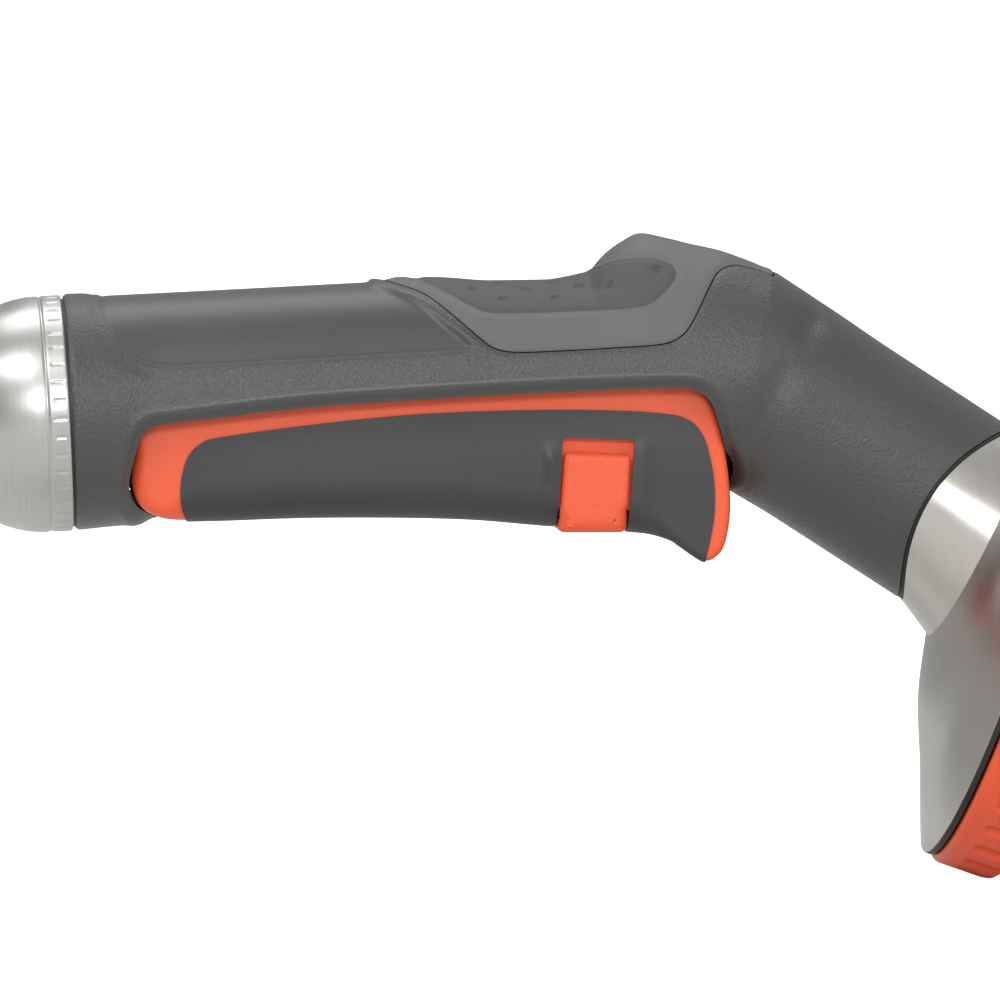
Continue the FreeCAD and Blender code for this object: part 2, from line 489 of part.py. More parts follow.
valve_block = fuse(post(VALVE, "-valve_bottom", "valve_top + valve_bottom", "valve_radius"),
                   rod(VALVE_BACK, "0", "port_boss_length", "port_boss_radius"),
                   rod(VALVE, "0", "port_boss_length", "port_boss_radius"))
valve_block = cut(
    valve_block, post(VALVE, "seat_floor", "30", "chamber_radius"),
    post(VALVE, "-4.5", "6", "outlet_radius"), post(VALVE, "-20", "20", "stem_radius + running_gap"),
    post(VALVE, "-7.3", "1.8", "stem_radius + 1.45"),
    rod(f"{VALVE_BACK} - 1", "0", "socket_depth + 1", SOCKET),
    rod(f"{VALVE_FRONT} - socket_depth", "0", "socket_depth + 1", SOCKET),
    rod(f"{VALVE_BACK} + socket_depth - 0.5", "2.5", "9", "2.6", "(-30)"),
    rod(VALVE, "-1.9", "port_boss_length - socket_depth + 0.5", "2.3"))
node(valve_block, "valve_body")
SEAT_TOP = "(seat_floor + seat_thickness)"
node(cut(post(VALVE, "seat_floor", "seat_thickness", "chamber_radius - running_gap"),
         post(VALVE, "0", "10", "seat_hole_radius")), "valve_seat")
node(cut(post(VALVE, SEAT_TOP, "disc_thickness", "disc_radius"),
         post(VALVE, "0", "10", "stem_radius")), "valve_disc")
DISC_TOP = f"({SEAT_TOP} + disc_thickness)"
HEAD_TOP = f"({DISC_TOP} + stem_head_height)"
stem = fuse(post(VALVE, "-stem_tip", f"{DISC_TOP} + stem_tip", "stem_radius"),
            post(VALVE, DISC_TOP, "stem_head_height", "stem_head_radius"))
node(stem, "valve_stem")
stem_ring = bind(doc.addObject("Part::Torus", "StemRing"), Radius1="stem_radius + running_gap + 0.65",
                 Radius2="0.65")
node(place(stem_ring, VALVE, "-6.4"), "stem_seal")
cap = cut(fuse(post(VALVE, "valve_top", "1.2", "chamber_radius + 1.2"),
               post(VALVE, "valve_top - cap_thread_depth", "cap_thread_depth", "chamber_radius - running_gap"),
               post(VALVE, "valve_top", "cap_top - valve_top", "chamber_radius - 1")),
          post(VALVE, "0", "cap_top - 1.2", "chamber_radius - cap_skirt - 0.1"))
node(cap, "valve_cap")
node(coil(VALVE, f"{HEAD_TOP} + valve_spring_wire / 2 + 0.05", "0", "valve_spring_radius", "valve_spring_wire",
          f"cap_top - 1.3 - {HEAD_TOP}", 4), "valve_spring")

# ---------------------------------------------------------------- casing of the head and its gasket
FAN = ((0.598, 0.149, 0.066, 0.49), (0.688, 0.376, 0.323, 0.526), (0.868, 0.742, 0.641, 0.77))
NECK_END = neck_point("neck_length")


def casing_form(inset, push):
    """Round sections that fan out from the neck's end to the rim, smaller by inset and moved by push."""
    start = "neck_length - 13 - 2 * (" + push + ")"
    sections = [oval(*neck_point(start), f"neck_radius - {inset}", f"neck_radius - {inset}", "neck_tilt"),
                oval(*neck_point("neck_length - 3"), f"neck_radius - {inset}", f"neck_radius - {inset}", "neck_tilt")]
    rim_x, rim_z = head_point("0")
    for across, down, grow, turn in FAN:
        tilt = f"(neck_tilt + {turn} * (head_tilt - neck_tilt))"
        size = f"neck_radius + {grow} * (rim_radius - neck_radius) - {inset}"
        sections.append(oval(f"({NECK_END[0]}) + {across} * (({rim_x}) - ({NECK_END[0]})) + {push} * cos({tilt})",
                             f"({NECK_END[1]}) + {down} * (({rim_z}) - ({NECK_END[1]})) - {push} * sin({tilt})",
                             size, size, tilt))
    sections.append(oval(*head_point(push), f"rim_radius - {inset}", f"rim_radius - {inset}", "head_tilt"))
    return loft(sections)


back_trim = cut(rod(*neck_point("neck_length - 30"), "31", "neck_radius + 6", "neck_tilt"), edge_drum("0"))
casing = cut(casing_form("0", "0"), casing_form("casing_wall", "1.2"), back_trim)
node(casing, "head_casing")
gasket_tube = cut(rod(*neck_point("neck_length - 14"), "18", "neck_radius - 0.25", "neck_tilt"),
                  rod(*neck_point("neck_length - 16"), "24", "neck_radius - casing_wall", "neck_tilt"))
node(cut(common(gasket_tube, edge_drum("gasket_width")), edge_drum("0")), "neck_gasket")

# ---------------------------------------------------------------- fixed core of the head
head_at = head_point("0")
HEAD = (head_at[0], head_at[1], "head_tilt")
CORE_RADIUS = "(rim_radius - casing_wall - 4.5)"
core_plate = washer("-0.3", "trim_width + 0.3", "0", CORE_RADIUS, *HEAD)
hub = washer("-7.3", f"7.3 + {ROTOR} - 0.2", "0", "6", *HEAD)
# from the neck's end, along the neck's axis, to the rim's plane
TO_RIM = "((head_ahead * cos(head_tilt) + head_below * sin(head_tilt)) / cos(neck_tilt - head_tilt))"
tube_socket = rod(*neck_point("neck_length - 3"), f"{TO_RIM} + 1.3", "tube_radius + 2", "neck_tilt")
port_boss = rod(*head_point("-8", "port_offset"), "8", "port_radius + 3", "head_tilt")
detent_post = rod(*head_point("-8", "detent_offset"), "8", "ball_radius + 1.6", "head_tilt")
core = cut(fuse(core_plate, hub, tube_socket, port_boss, detent_post),
           rod(*neck_point("neck_length - 4"), "7.05", SOCKET, "neck_tilt"),
           rod(*neck_point("neck_length"), "10", "3.2", "neck_tilt"),
           rod(*head_point("-6", "port_offset"), "10", "port_radius", "head_tilt"),
           rod(*head_point("-7", "detent_offset"), "10", "ball_radius + running_gap", "head_tilt"),
           rod(*head_point("-6.6"), "30", "axle_radius - 0.8", "head_tilt"))
node(core, "head_core")
port_x, port_z = head_point("0", "port_offset")
node(washer("trim_width", "turn_gap - 0.1", "port_radius", "port_radius + 2", port_x, port_z, "head_tilt"),
     "port_seal")
ball = place(bind(doc.addObject("Part::Sphere", "Ball"), Radius="ball_radius"),
             *head_point(f"{ROTOR} - ball_radius - 0.1", "detent_offset"))
node(ball, "detent_ball")
spring_x, spring_z = head_point("-6.7", "detent_offset")
node(coil(spring_x, spring_z, "0", "ball_radius - 0.5", "0.5", f"{ROTOR} + 6.4 - 2 * ball_radius", 4,
          angle="90 + head_tilt"), "detent_spring")
node(washer("0", "trim_width", CORE_RADIUS + " + 0.05", "rim_radius + 0.1", *HEAD), "trim_ring")

# ---------------------------------------------------------------- turning selector: ring, plates and jet
port_count = 6
port_plate = washer(ROTOR, "face_wall", "axle_radius + running_gap", f"{FACE_RADIUS} - 0.05", *HEAD)
ports = []
for k in range(port_count):
    swing = f"({k} * 360 / {port_count})"
    ports.append(rod(*head_point("0", f"port_offset * cos({swing})"), "8", "port_radius - 0.4", "head_tilt",
                     y=f"port_offset * sin({swing})"))
node(cut(port_plate, group(*ports)), "port_plate")
FACE_BACK = f"({ROTOR} + face_wall)"
face = turned([
    (FACE_BACK, f"{FACE_RADIUS} - 2"), (f"{FACE_FRONT} - face_wall", f"{FACE_RADIUS} - 2"),
    (f"{FACE_FRONT} - face_wall", "axle_head_radius + 3"), (FACE_BACK, "axle_head_radius + 3"),
    (FACE_BACK, "axle_radius + running_gap"), (f"{FACE_FRONT} - 3.2", "axle_radius + running_gap"),
    (f"{FACE_FRONT} - 3.2", "axle_head_radius + 0.5"), (FACE_FRONT, "axle_head_radius + 0.5"),
    (FACE_FRONT, f"{FACE_RADIUS} - 0.05"), (FACE_BACK, f"{FACE_RADIUS} - 0.05")], *HEAD)
sprays = []
for offset, count in (("13", 12), ("18", 18), ("23", 24)):
    for k in range(count):
        swing = f"({k} * 360 / {count})"
        sprays.append(rod(*head_point(f"{FACE_FRONT} - 4", f"{offset} * cos({swing})"), "6", "spray_hole_radius",
                          "head_tilt", y=f"{offset} * sin({swing})"))
jet_up = "26.8"
jet_hole = rod(*head_point(f"{FACE_FRONT} - 4", jet_up), "6", "jet_radius + 0.8", "head_tilt")
node(cut(face, group(*sprays), jet_hole), "spray_face")
jet_x, jet_z = head_point("0", jet_up)
node(washer(f"{FACE_FRONT} - 2.2", "2.8", "jet_radius - 0.4", "jet_radius + 0.75", jet_x, jet_z, "head_tilt"),
     "jet_insert")
RING_END = f"({ROTOR} + ring_width)"
ring = turned([(ROTOR, FACE_RADIUS), (RING_END, FACE_RADIUS), (RING_END, "ring_radius - 1.6"),
               (f"{RING_END} - 1.6", "ring_radius"), (f"{ROTOR} + 1", "ring_radius"),
               (ROTOR, "ring_radius - 1")], *HEAD)
flutes = []
flute_count = 36
for k in range(flute_count):
    swing = f"({k} * 360 / {flute_count})"
    flutes.append(rod(*head_point(f"{ROTOR} + 2.5", f"(ring_radius + 0.5) * cos({swing})"), "ring_width", "1.1",
                      "head_tilt", y=f"(ring_radius + 0.5) * sin({swing})"))
node(cut(ring, group(*flutes)), "selector_ring")
axle = turned([("-6.5", "0"), (f"{FACE_FRONT} - 0.9", "0"), (f"{FACE_FRONT} - 0.9", "axle_head_radius"),
               (f"{FACE_FRONT} - 3", "axle_head_radius"), (f"{FACE_FRONT} - 3", "axle_radius"),
               (f"{ROTOR} - 0.2", "axle_radius"), (f"{ROTOR} - 0.2", "axle_radius - 0.85"),
               ("-6.5", "axle_radius - 0.85")], *HEAD)
node(axle, "face_axle")
node(washer(f"{FACE_FRONT} - 0.6", "1.1", "0", "axle_head_radius + 0.45", *HEAD), "centre_cap")

# ---------------------------------------------------------------- checks and files
doc.recompute()
faults = [f"{obj.Label}: {obj.State}" for obj in doc.Objects
          if "Invalid" in obj.State or "Error" in obj.State]
for piece in nodes:
    shape = piece.Shape
    if shape.isNull() or not shape.isValid() or not shape.Solids:
        faults.append(f"{piece.Label}: no sound solid")
if len({piece.Label for piece in nodes}) != len(nodes):
    faults.append("two pieces share a name")
if faults:
    raise RuntimeError("; ".join(faults))
for piece in nodes:
    piece.Shape.exportStep(f"parts/{piece.Label}.step")
    print(f"{piece.Label}: {len(piece.Shape.Solids)} solid(s), {piece.Shape.Volume / 1000:.2f} cm3")
print(f"{len(nodes)} nodes")
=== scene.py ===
import json
import math
import bpy
import bmesh
import numpy as np
from mathutils import Matrix, Vector
from mathutils.geometry import delaunay_2d_cdt


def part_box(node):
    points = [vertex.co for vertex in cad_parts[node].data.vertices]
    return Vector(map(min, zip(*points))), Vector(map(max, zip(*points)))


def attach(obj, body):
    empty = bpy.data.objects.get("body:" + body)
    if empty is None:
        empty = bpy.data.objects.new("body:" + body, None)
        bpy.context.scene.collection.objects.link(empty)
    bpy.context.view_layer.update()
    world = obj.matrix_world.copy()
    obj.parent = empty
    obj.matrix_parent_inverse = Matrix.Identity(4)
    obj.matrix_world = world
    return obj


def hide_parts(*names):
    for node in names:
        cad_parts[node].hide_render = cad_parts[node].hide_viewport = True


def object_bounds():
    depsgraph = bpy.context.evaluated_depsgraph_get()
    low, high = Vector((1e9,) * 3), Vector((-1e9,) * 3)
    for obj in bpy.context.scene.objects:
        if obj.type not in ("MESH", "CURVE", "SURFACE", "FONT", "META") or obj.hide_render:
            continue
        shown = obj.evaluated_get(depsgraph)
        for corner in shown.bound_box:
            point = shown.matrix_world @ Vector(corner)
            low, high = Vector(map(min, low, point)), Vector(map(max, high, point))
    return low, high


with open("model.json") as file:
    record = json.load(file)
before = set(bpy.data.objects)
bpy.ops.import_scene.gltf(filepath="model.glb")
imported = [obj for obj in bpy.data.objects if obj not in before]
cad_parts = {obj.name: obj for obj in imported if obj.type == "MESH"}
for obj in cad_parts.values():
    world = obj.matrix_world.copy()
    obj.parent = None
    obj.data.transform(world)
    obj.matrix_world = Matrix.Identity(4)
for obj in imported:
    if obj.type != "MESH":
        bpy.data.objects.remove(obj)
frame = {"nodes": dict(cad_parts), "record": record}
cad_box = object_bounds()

# Trigger hose spray nozzle. Sizes below are in millimetres in the frame's own axes: +X from the hose
# plug to the head, +Z up, Y = 0 the plane of symmetry. Each section is one piece, from hose to spray.
MM = 0.001

# ------------------------------------------------------------------ hose plug
# The plug that a garden hose's quick connector snaps onto, with the O-ring in its groove. Injection
# moulded in black acetal, held by its flange inside the collar.


def linear(code):
    """An sRGB hex colour as linear light."""
    parts = [int(code[k:k + 2], 16) / 255 for k in (1, 3, 5)]
    return tuple(p / 12.92 if p <= 0.04045 else ((p + 0.055) / 1.055) ** 2.4 for p in parts) + (1.0,)


def add(tree, kind, settings=None, links=None):
    """Adds a node, sets its properties or sockets, and links its sockets to other nodes' outputs."""
    made = tree.nodes.new(kind)
    for key, value in (settings or {}).items():
        if isinstance(key, str) and hasattr(made, key):
            setattr(made, key, value)
        else:
            made.inputs[key].default_value = value
    for key, source in (links or {}).items():
        tree.links.new(source, made.inputs[key])
    return made


def new_material(name):
    material = bpy.data.materials.new(name)
    material.use_nodes = True
    material.node_tree.nodes.clear()
    return material, material.node_tree


def moulded(name, dark, light, roughness, grain_mm, relief_mm, drift_mm=22, ior=1.5, mask=None,
            spread=0.08):
    """A moulded polymer: two close shades that drift across it, and the mould's grain as bump and
    as small changes in gloss. Where the mesh attribute named by mask is 1 the grain is polished off."""
    material, tree = new_material(name)
    where = add(tree, "ShaderNodeTexCoord").outputs["Object"]
    grain = add(tree, "ShaderNodeTexNoise", {"Scale": 1 / (grain_mm * MM), "Detail": 3, "Roughness": 0.6},
                {"Vector": where})
    drift = add(tree, "ShaderNodeTexNoise", {"Scale": 1 / (drift_mm * MM), "Detail": 2}, {"Vector": where})
    tint = add(tree, "ShaderNodeMix", {"data_type": "RGBA", 6: linear(dark), 7: linear(light)},
               {0: drift.outputs["Fac"]})
    speck = add(tree, "ShaderNodeMapRange", {1: 0.3, 2: 0.75, 3: roughness + spread, 4: roughness - spread},
                {0: grain.outputs["Fac"]})
    rough = speck.outputs[0]
    height = grain.outputs["Fac"]
    if mask:
        polish = add(tree, "ShaderNodeAttribute", {"attribute_name": mask}).outputs["Fac"]
        height = add(tree, "ShaderNodeMapRange", {1: 0.0, 2: 1.0, 4: 0.5}, {0: polish, 3: height}).outputs[0]
        rough = add(tree, "ShaderNodeMapRange", {1: 0.0, 2: 1.0, 4: roughness + 0.06},
                    {0: polish, 3: rough}).outputs[0]
    bump = add(tree, "ShaderNodeBump", {"Strength": 1.0, "Distance": relief_mm * MM}, {"Height": height})
    shader = add(tree, "ShaderNodeBsdfPrincipled", {"IOR": ior},
                 {"Base Color": tint.outputs[2], "Roughness": rough, "Normal": bump.outputs[0]})
    add(tree, "ShaderNodeOutputMaterial", links={"Surface": shader.outputs[0]})
    return material


# Black acetal, moulded and left as moulded: an even satin with a faint waxy sheen.
acetal = moulded("acetal_black_moulded", "#1b1b1c", "#27282a", 0.42, 0.5, 0.012)


def piece_from(name, points, faces, material, smooth_below=40):
    """A mesh piece from points in mm, with shared points merged and its normals set outward."""
    mesh = bpy.data.meshes.new(name)
    mesh.from_pydata([tuple(p) for p in np.asarray(points) * MM], [], [tuple(f) for f in faces])
    made = bpy.data.objects.new(name, mesh)
    bpy.context.scene.collection.objects.link(made)
    tidy = bmesh.new()
    tidy.from_mesh(mesh)
    bmesh.ops.remove_doubles(tidy, verts=tidy.verts, dist=0.004 * MM)
    bmesh.ops.dissolve_degenerate(tidy, edges=tidy.edges, dist=0.002 * MM)
    bmesh.ops.recalc_face_normals(tidy, faces=tidy.faces)
    tidy.to_mesh(mesh)
    tidy.free()
    mesh.materials.append(material)
    mesh.polygons.foreach_set("use_smooth", [True] * len(mesh.polygons))
    mesh.set_sharp_from_angle(angle=math.radians(smooth_below))
    return made


def ring_grid(rows, columns):
    """Faces of a grid of points stored row by row, each row a closed ring."""
    return [(i * columns + j, i * columns + (j + 1) % columns, (i + 1) * columns + (j + 1) % columns,
             (i + 1) * columns + j) for i in range(rows - 1) for j in range(columns)]


def softened(profile, radius=0.3, bites=4):
    """The profile with each inner corner rounded to at most the radius."""
    out = [np.array(profile[0], float)]
    for before, corner, after in zip(profile, profile[1:], profile[2:]):
        before, corner, after = (np.array(p, float) for p in (before, corner, after))
        reach = min(radius, np.linalg.norm(before - corner) * 0.45, np.linalg.norm(after - corner) * 0.45)
        start = corner + (before - corner) / np.linalg.norm(before - corner) * reach
        end = corner + (after - corner) / np.linalg.norm(after - corner) * reach
        for k in range(bites + 1):
            t = k / bites
            out.append((1 - t) ** 2 * start + 2 * t * (1 - t) * corner + t ** 2 * end)
    return out + [np.array(profile[-1], float)]


def turned(name, profile, material, origin=(0, 0, 0), axis=(1, 0, 0), steps=96, soft=0.3):
    """A piece turned about an axis from its (along, radius) outline, with softened corners. The outline
    is closed by a straight line, from whose middle it starts."""
    middle = [(profile[0][0] + profile[-1][0]) / 2, (profile[0][1] + profile[-1][1]) / 2]
    profile = [middle] + list(profile) + [middle]
    line = np.array(softened(profile, soft))
    turn = np.linspace(0, 2 * math.pi, steps, endpoint=False)
    ahead = np.array(axis, float)
    side = np.array((0.0, 1.0, 0.0))
    up = np.cross(ahead, side)
    ring = np.outer(np.cos(turn), up) + np.outer(np.sin(turn), side)
    points = (np.array(origin) + line[:, None, 0:1] * ahead + line[:, None, 1:2] * ring[None]).reshape(-1, 3)
    return piece_from(name, points, ring_grid(len(line), steps), material)


plug_nose, plug_latch_end, plug_waist_end = 10.0, 13.0, 18.0
plug = turned("hose_plug", [
    (0, 4.75), (0, 7.1), (0.9, 7.9), (3.6, 7.9), (3.6, 5.8), (5.9, 5.8), (5.9, 7.9), (plug_nose, 7.9),
    (plug_nose, 8.9), (plug_latch_end - 0.9, 8.9), (plug_latch_end, 8.5), (plug_latch_end + 0.8, 7.0),
    (plug_waist_end, 7.0), (plug_waist_end + 1.5, 11.0), (21, 11), (21, 10.5), (22, 10.5), (22, 11),
    (31, 11), (31, 14.5), (34.4, 14.5), (34.4, 9.9), (49.8, 9.9), (49.8, 6.6), (36.6, 6.6), (36.6, 4.75)],
    acetal)
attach(plug, "handle")
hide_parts("inlet_plug")

# ------------------------------------------------------------------ rear collar
# A deep-drawn stainless collar over the hose end: a dome that runs into a plain band, brushed on a
# lathe so its scratches run round it. A row of short dashes is pressed into the band.


def brushed(name, dark, light, roughness, line_mm, spin=(0, 0, 0), streak_mm=9, soft_mm=14):
    """Brushed metal whose scratches run round the local X axis after the turn given by spin."""
    material, tree = new_material(name)
    where = add(tree, "ShaderNodeTexCoord").outputs["Object"]
    along = add(tree, "ShaderNodeVectorRotate", {"rotation_type": "EULER_XYZ", "Rotation": spin},
                {"Vector": where})
    fine = add(tree, "ShaderNodeMapping",
               {"Scale": (1 / (line_mm * MM), 1 / (streak_mm * MM), 1 / (streak_mm * MM))},
               {"Vector": along.outputs[0]})
    lines = add(tree, "ShaderNodeTexNoise", {"Scale": 1.0, "Detail": 4, "Roughness": 0.7},
                {"Vector": fine.outputs[0]})
    cloud = add(tree, "ShaderNodeTexNoise", {"Scale": 1 / (soft_mm * MM), "Detail": 2}, {"Vector": where})
    tint = add(tree, "ShaderNodeMix", {"data_type": "RGBA", 6: linear(dark), 7: linear(light)},
               {0: lines.outputs["Fac"]})
    base = add(tree, "ShaderNodeMapRange", {1: 0.3, 2: 0.7, 3: roughness - 0.04, 4: roughness + 0.06},
               {0: cloud.outputs["Fac"]})
    rough = add(tree, "ShaderNodeMath", {"operation": "MULTIPLY_ADD", 1: 0.1},
                {0: lines.outputs["Fac"], 2: base.outputs[0]})
    bump = add(tree, "ShaderNodeBump", {"Strength": 1.0, "Distance": 0.004 * MM},
               {"Height": lines.outputs["Fac"]})
    shader = add(tree, "ShaderNodeBsdfPrincipled", {"Metallic": 1.0, "Anisotropic": 0.4},
                 {"Base Color": tint.outputs[2], "Roughness": rough.outputs[0], "Normal": bump.outputs[0]})
    add(tree, "ShaderNodeOutputMaterial", links={"Surface": shader.outputs[0]})
    return material


# Stainless steel, brushed round: soft broad highlights, broken by lines too fine to count. The lines
# are drawn 0.25 mm apart, coarser than real ones, so that they show.
collar_steel = brushed("stainless_brushed_round", "#aeaeac", "#c8c8c5", 0.3, 0.25)

collar_centre, collar_radius, band_end = 40.0, 18.9, 43.5
dome_angles = np.radians(np.linspace(37, 84, 22))
dome = [(collar_centre - collar_radius * math.cos(a), collar_radius * math.sin(a)) for a in dome_angles]
collar_line = np.array(softened(
    [(collar_centre - 14.1, 10.9), (dome[0][0] - 0.1, 11.05)] + dome
    + [(collar_centre - 0.3, collar_radius - 0.06), (collar_centre + 0.05, collar_radius - 0.34),
       (collar_centre + 0.4, collar_radius - 0.06), (band_end - 0.25, collar_radius - 0.06),
       (band_end, collar_radius - 0.3), (band_end, 17.0), (38.2, 17.0), (34.6, 14.7), (31, 14.7),
       (31, 11.1), (collar_centre - 14.1, 10.9)], 0.25, 3))
band_cell = 0.3
fine_line = [collar_line[0]]
for start, end in zip(collar_line, collar_line[1:]):
    on_band = start[0] > collar_centre and end[1] > 18
    cuts = max(1, int(np.linalg.norm(end - start) / band_cell)) if on_band else 1
    fine_line += [start + (end - start) * (k + 1) / cuts for k in range(cuts)]
fine_line = np.array(fine_line)
collar_steps, dash_count = 720, 40
dash_middle, dash_half_length, dash_half_width, dash_depth = 42.0, 0.9, 0.24, 0.13
dash_end_slope, dash_side_slope = 0.2, 0.12
turn = np.linspace(0, 2 * math.pi, collar_steps, endpoint=False)
dash_share = np.abs((turn * dash_count / (2 * math.pi) + 0.5) % 1 - 0.5)
off_dash = dash_share * 2 * math.pi / dash_count * collar_radius
x_line, r_line = fine_line[:, 0], fine_line[:, 1]
in_length = np.clip((dash_half_length - np.abs(x_line - dash_middle)) / dash_end_slope + 0.5, 0, 1)
in_length = in_length * (r_line > 18.5)
in_width = np.clip((dash_half_width - off_dash) / dash_side_slope + 0.5, 0, 1)
radii = r_line[:, None] - dash_depth * in_length[:, None] * in_width[None]
x_grid = np.repeat(x_line[:, None], collar_steps, 1)
points = np.stack([x_grid, radii * np.sin(turn), radii * np.cos(turn)], -1)
collar = piece_from("rear_collar_shell", points.reshape(-1, 3), ring_grid(len(x_line), collar_steps),
                    collar_steel)
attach(collar, "handle")
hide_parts("rear_collar")

# ------------------------------------------------------------------ handle shells
# Two mirrored shells of glass-filled nylon, screwed together on Y = 0, that make the grip and the neck.
# The mould's grain covers them, apart from a polished grip panel and the lip round the trigger's opening.
# Dark grey nylon, spark-eroded mould: fine sparkling grain where it catches the light.
nylon = moulded("nylon_grained", "#3d3d3c", "#474745", 0.32, 0.5, 0.16, mask="polish", spread=0.1)

grip_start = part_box("collar_seal")[1][0] / MM
grip_length, tail_start = 108.0, 124.5
elbow = grip_start + grip_length
neck_tilt, neck_radius, neck_length = math.radians(36), 16.35, 41.3
# The neck's front edge is cut to a drum's curve, and lies further back at the sides by edge_swell.
edge_radius, edge_along, edge_swell = 28.0, 63.8, 1.5
shell_wall = 2.4
# length along the grip and neck, half height, half width, tilt in degrees
stations = np.array([
    (0, 18.8, 18.6, 0), (7, 18.5, 17.9, 0), (14, 18.35, 17.25, 0), (54, 18.2, 17.0, 0), (84, 17.7, 17.0, 0),
    (98, 17.5, 17.0, 6), (108, 17.3, 16.9, 18), (118.3, 16.6, 16.6, 32.4), (124.5, 16.4, 16.45, 36),
    (165, 16.35, 16.35, 36)], float)
# x, and how far the top rises above the plain section there
hump = np.array([
    (44, 0.2), (58, 0.5), (98, 0.5), (112, 0.2), (124, 0), (127.4, 0.25), (130, 2.3), (133.3, 4.6),
    (136.6, 6.0), (140.5, 5.2), (144.5, 4.1), (149.2, 3.0), (153.1, 1.7), (157.5, 0.3), (161, 0)])
hump_spread = math.radians(72)


def flow(knots, values, at):
    """A smooth line through the values at the knots that never overshoots them."""
    knots, values, at = (np.asarray(v, float) for v in (knots, values, at))
    step = np.diff(knots)
    slope = np.diff(values) / step
    tangent = np.zeros_like(values)
    tangent[0], tangent[-1] = slope[0], slope[-1]
    same = slope[:-1] * slope[1:] > 0
    tangent[1:-1][same] = 2 / (1 / slope[:-1][same] + 1 / slope[1:][same])
    k = np.clip(np.searchsorted(knots, at) - 1, 0, len(step) - 1)
    s = (at - knots[k]) / step[k]
    return (values[k] * (1 + 2 * s) * (1 - s) ** 2 + tangent[k] * step[k] * s * (1 - s) ** 2
            + values[k + 1] * s ** 2 * (3 - 2 * s) + tangent[k + 1] * step[k] * s ** 2 * (s - 1))


def ease(amount):
    amount = np.clip(amount, 0, 1)
    return amount * amount * (3 - 2 * amount)


def neck_end(turn, radius):
    """How far along the neck the drum-shaped edge of the given radius lies, at each turn round it."""
    drum = np.sqrt(radius ** 2 - (neck_radius * np.cos(turn)) ** 2)
    return edge_along - drum - edge_swell * np.sin(turn) ** 2


def body_points(length, turn):
    """Points of the grip and neck's skin at a length along and a turn round from the top."""
    tall, wide, tilt = (flow(stations[:, 0], stations[:, k], length) for k in (1, 2, 3))
    tilt = np.radians(tilt)
    past = np.maximum(length - grip_length, 0)
    x = grip_start + np.minimum(length, grip_length) + past * math.cos(neck_tilt)
    z = -past * math.sin(neck_tilt)
    up = tall * np.cos(turn)
    spot = np.stack([x + up * np.sin(tilt), wide * np.sin(turn), z + up * np.cos(tilt)], -1)
    rise = flow(hump[:, 0], hump[:, 1], np.clip(spot[..., 0], hump[0, 0], hump[-1, 0]))
    fade = np.clip(turn * (math.pi / 2) / hump_spread, -math.pi / 2, math.pi / 2)
    spot[..., 2] += rise * np.clip(np.cos(fade), 0, 1) ** 1.3
    return spot


def outward(spots):
    """Unit normals of a grid of points, turned away from the body's middle."""
    cross = np.cross(np.gradient(spots, axis=0), np.gradient(spots, axis=1))
    cross /= np.maximum(np.linalg.norm(cross, axis=-1, keepdims=True), 1e-9)
    middle = spots.mean(axis=1, keepdims=True) * np.array([1, 0, 1])
    return cross * np.sign(((spots - middle) * cross).sum(-1, keepdims=True).sum() or 1)


def curved(points, closed=False, cuts=8):
    """A smooth line through points."""
    points = np.array(points, float)
    count = len(points)
    out = []
    for k in range(count if closed else count - 1):
        a, b, c, d = (points[i % count] if closed else points[min(max(i, 0), count - 1)]
                      for i in (k - 1, k, k + 1, k + 2))
        for t in np.arange(cuts) / cuts:
            out.append(0.5 * (2 * b + (c - a) * t + (2 * a - 5 * b + 4 * c - d) * t ** 2
                              + (3 * b - a - 3 * c + d) * t ** 3))
    return np.array(out if closed else out + [points[-1]])


def distance(line, spots, closed=False):
    """How far each spot is from a line, both as (x, z) seen from the side."""
    starts = line if closed else line[:-1]
    ends = np.roll(line, -1, axis=0) if closed else line[1:]
    flat = spots.reshape(-1, 2)
    best = np.full(len(flat), 1e9)
    for a, b in zip(starts, ends):
        ab = b - a
        t = np.clip(((flat - a) @ ab) / max(ab @ ab, 1e-12), 0, 1)
        best = np.minimum(best, ((flat - a - t[:, None] * ab) ** 2).sum(1))
    return np.sqrt(best).reshape(spots.shape[:-1])


def signed(line, spots):
    """Distance to a closed line, negative inside it."""
    flat = spots.reshape(-1, 2)
    inside = np.zeros(len(flat), bool)
    for a, b in zip(line, np.roll(line, -1, axis=0)):
        crosses = (a[1] > flat[:, 1]) != (b[1] > flat[:, 1])
        with np.errstate(divide="ignore", invalid="ignore"):
            inside ^= crosses & (flat[:, 0] < (b[0] - a[0]) * (flat[:, 1] - a[1]) / (b[1] - a[1]) + a[0])
    return distance(line, spots, True) * np.where(inside.reshape(spots.shape[:-1]), -1, 1)


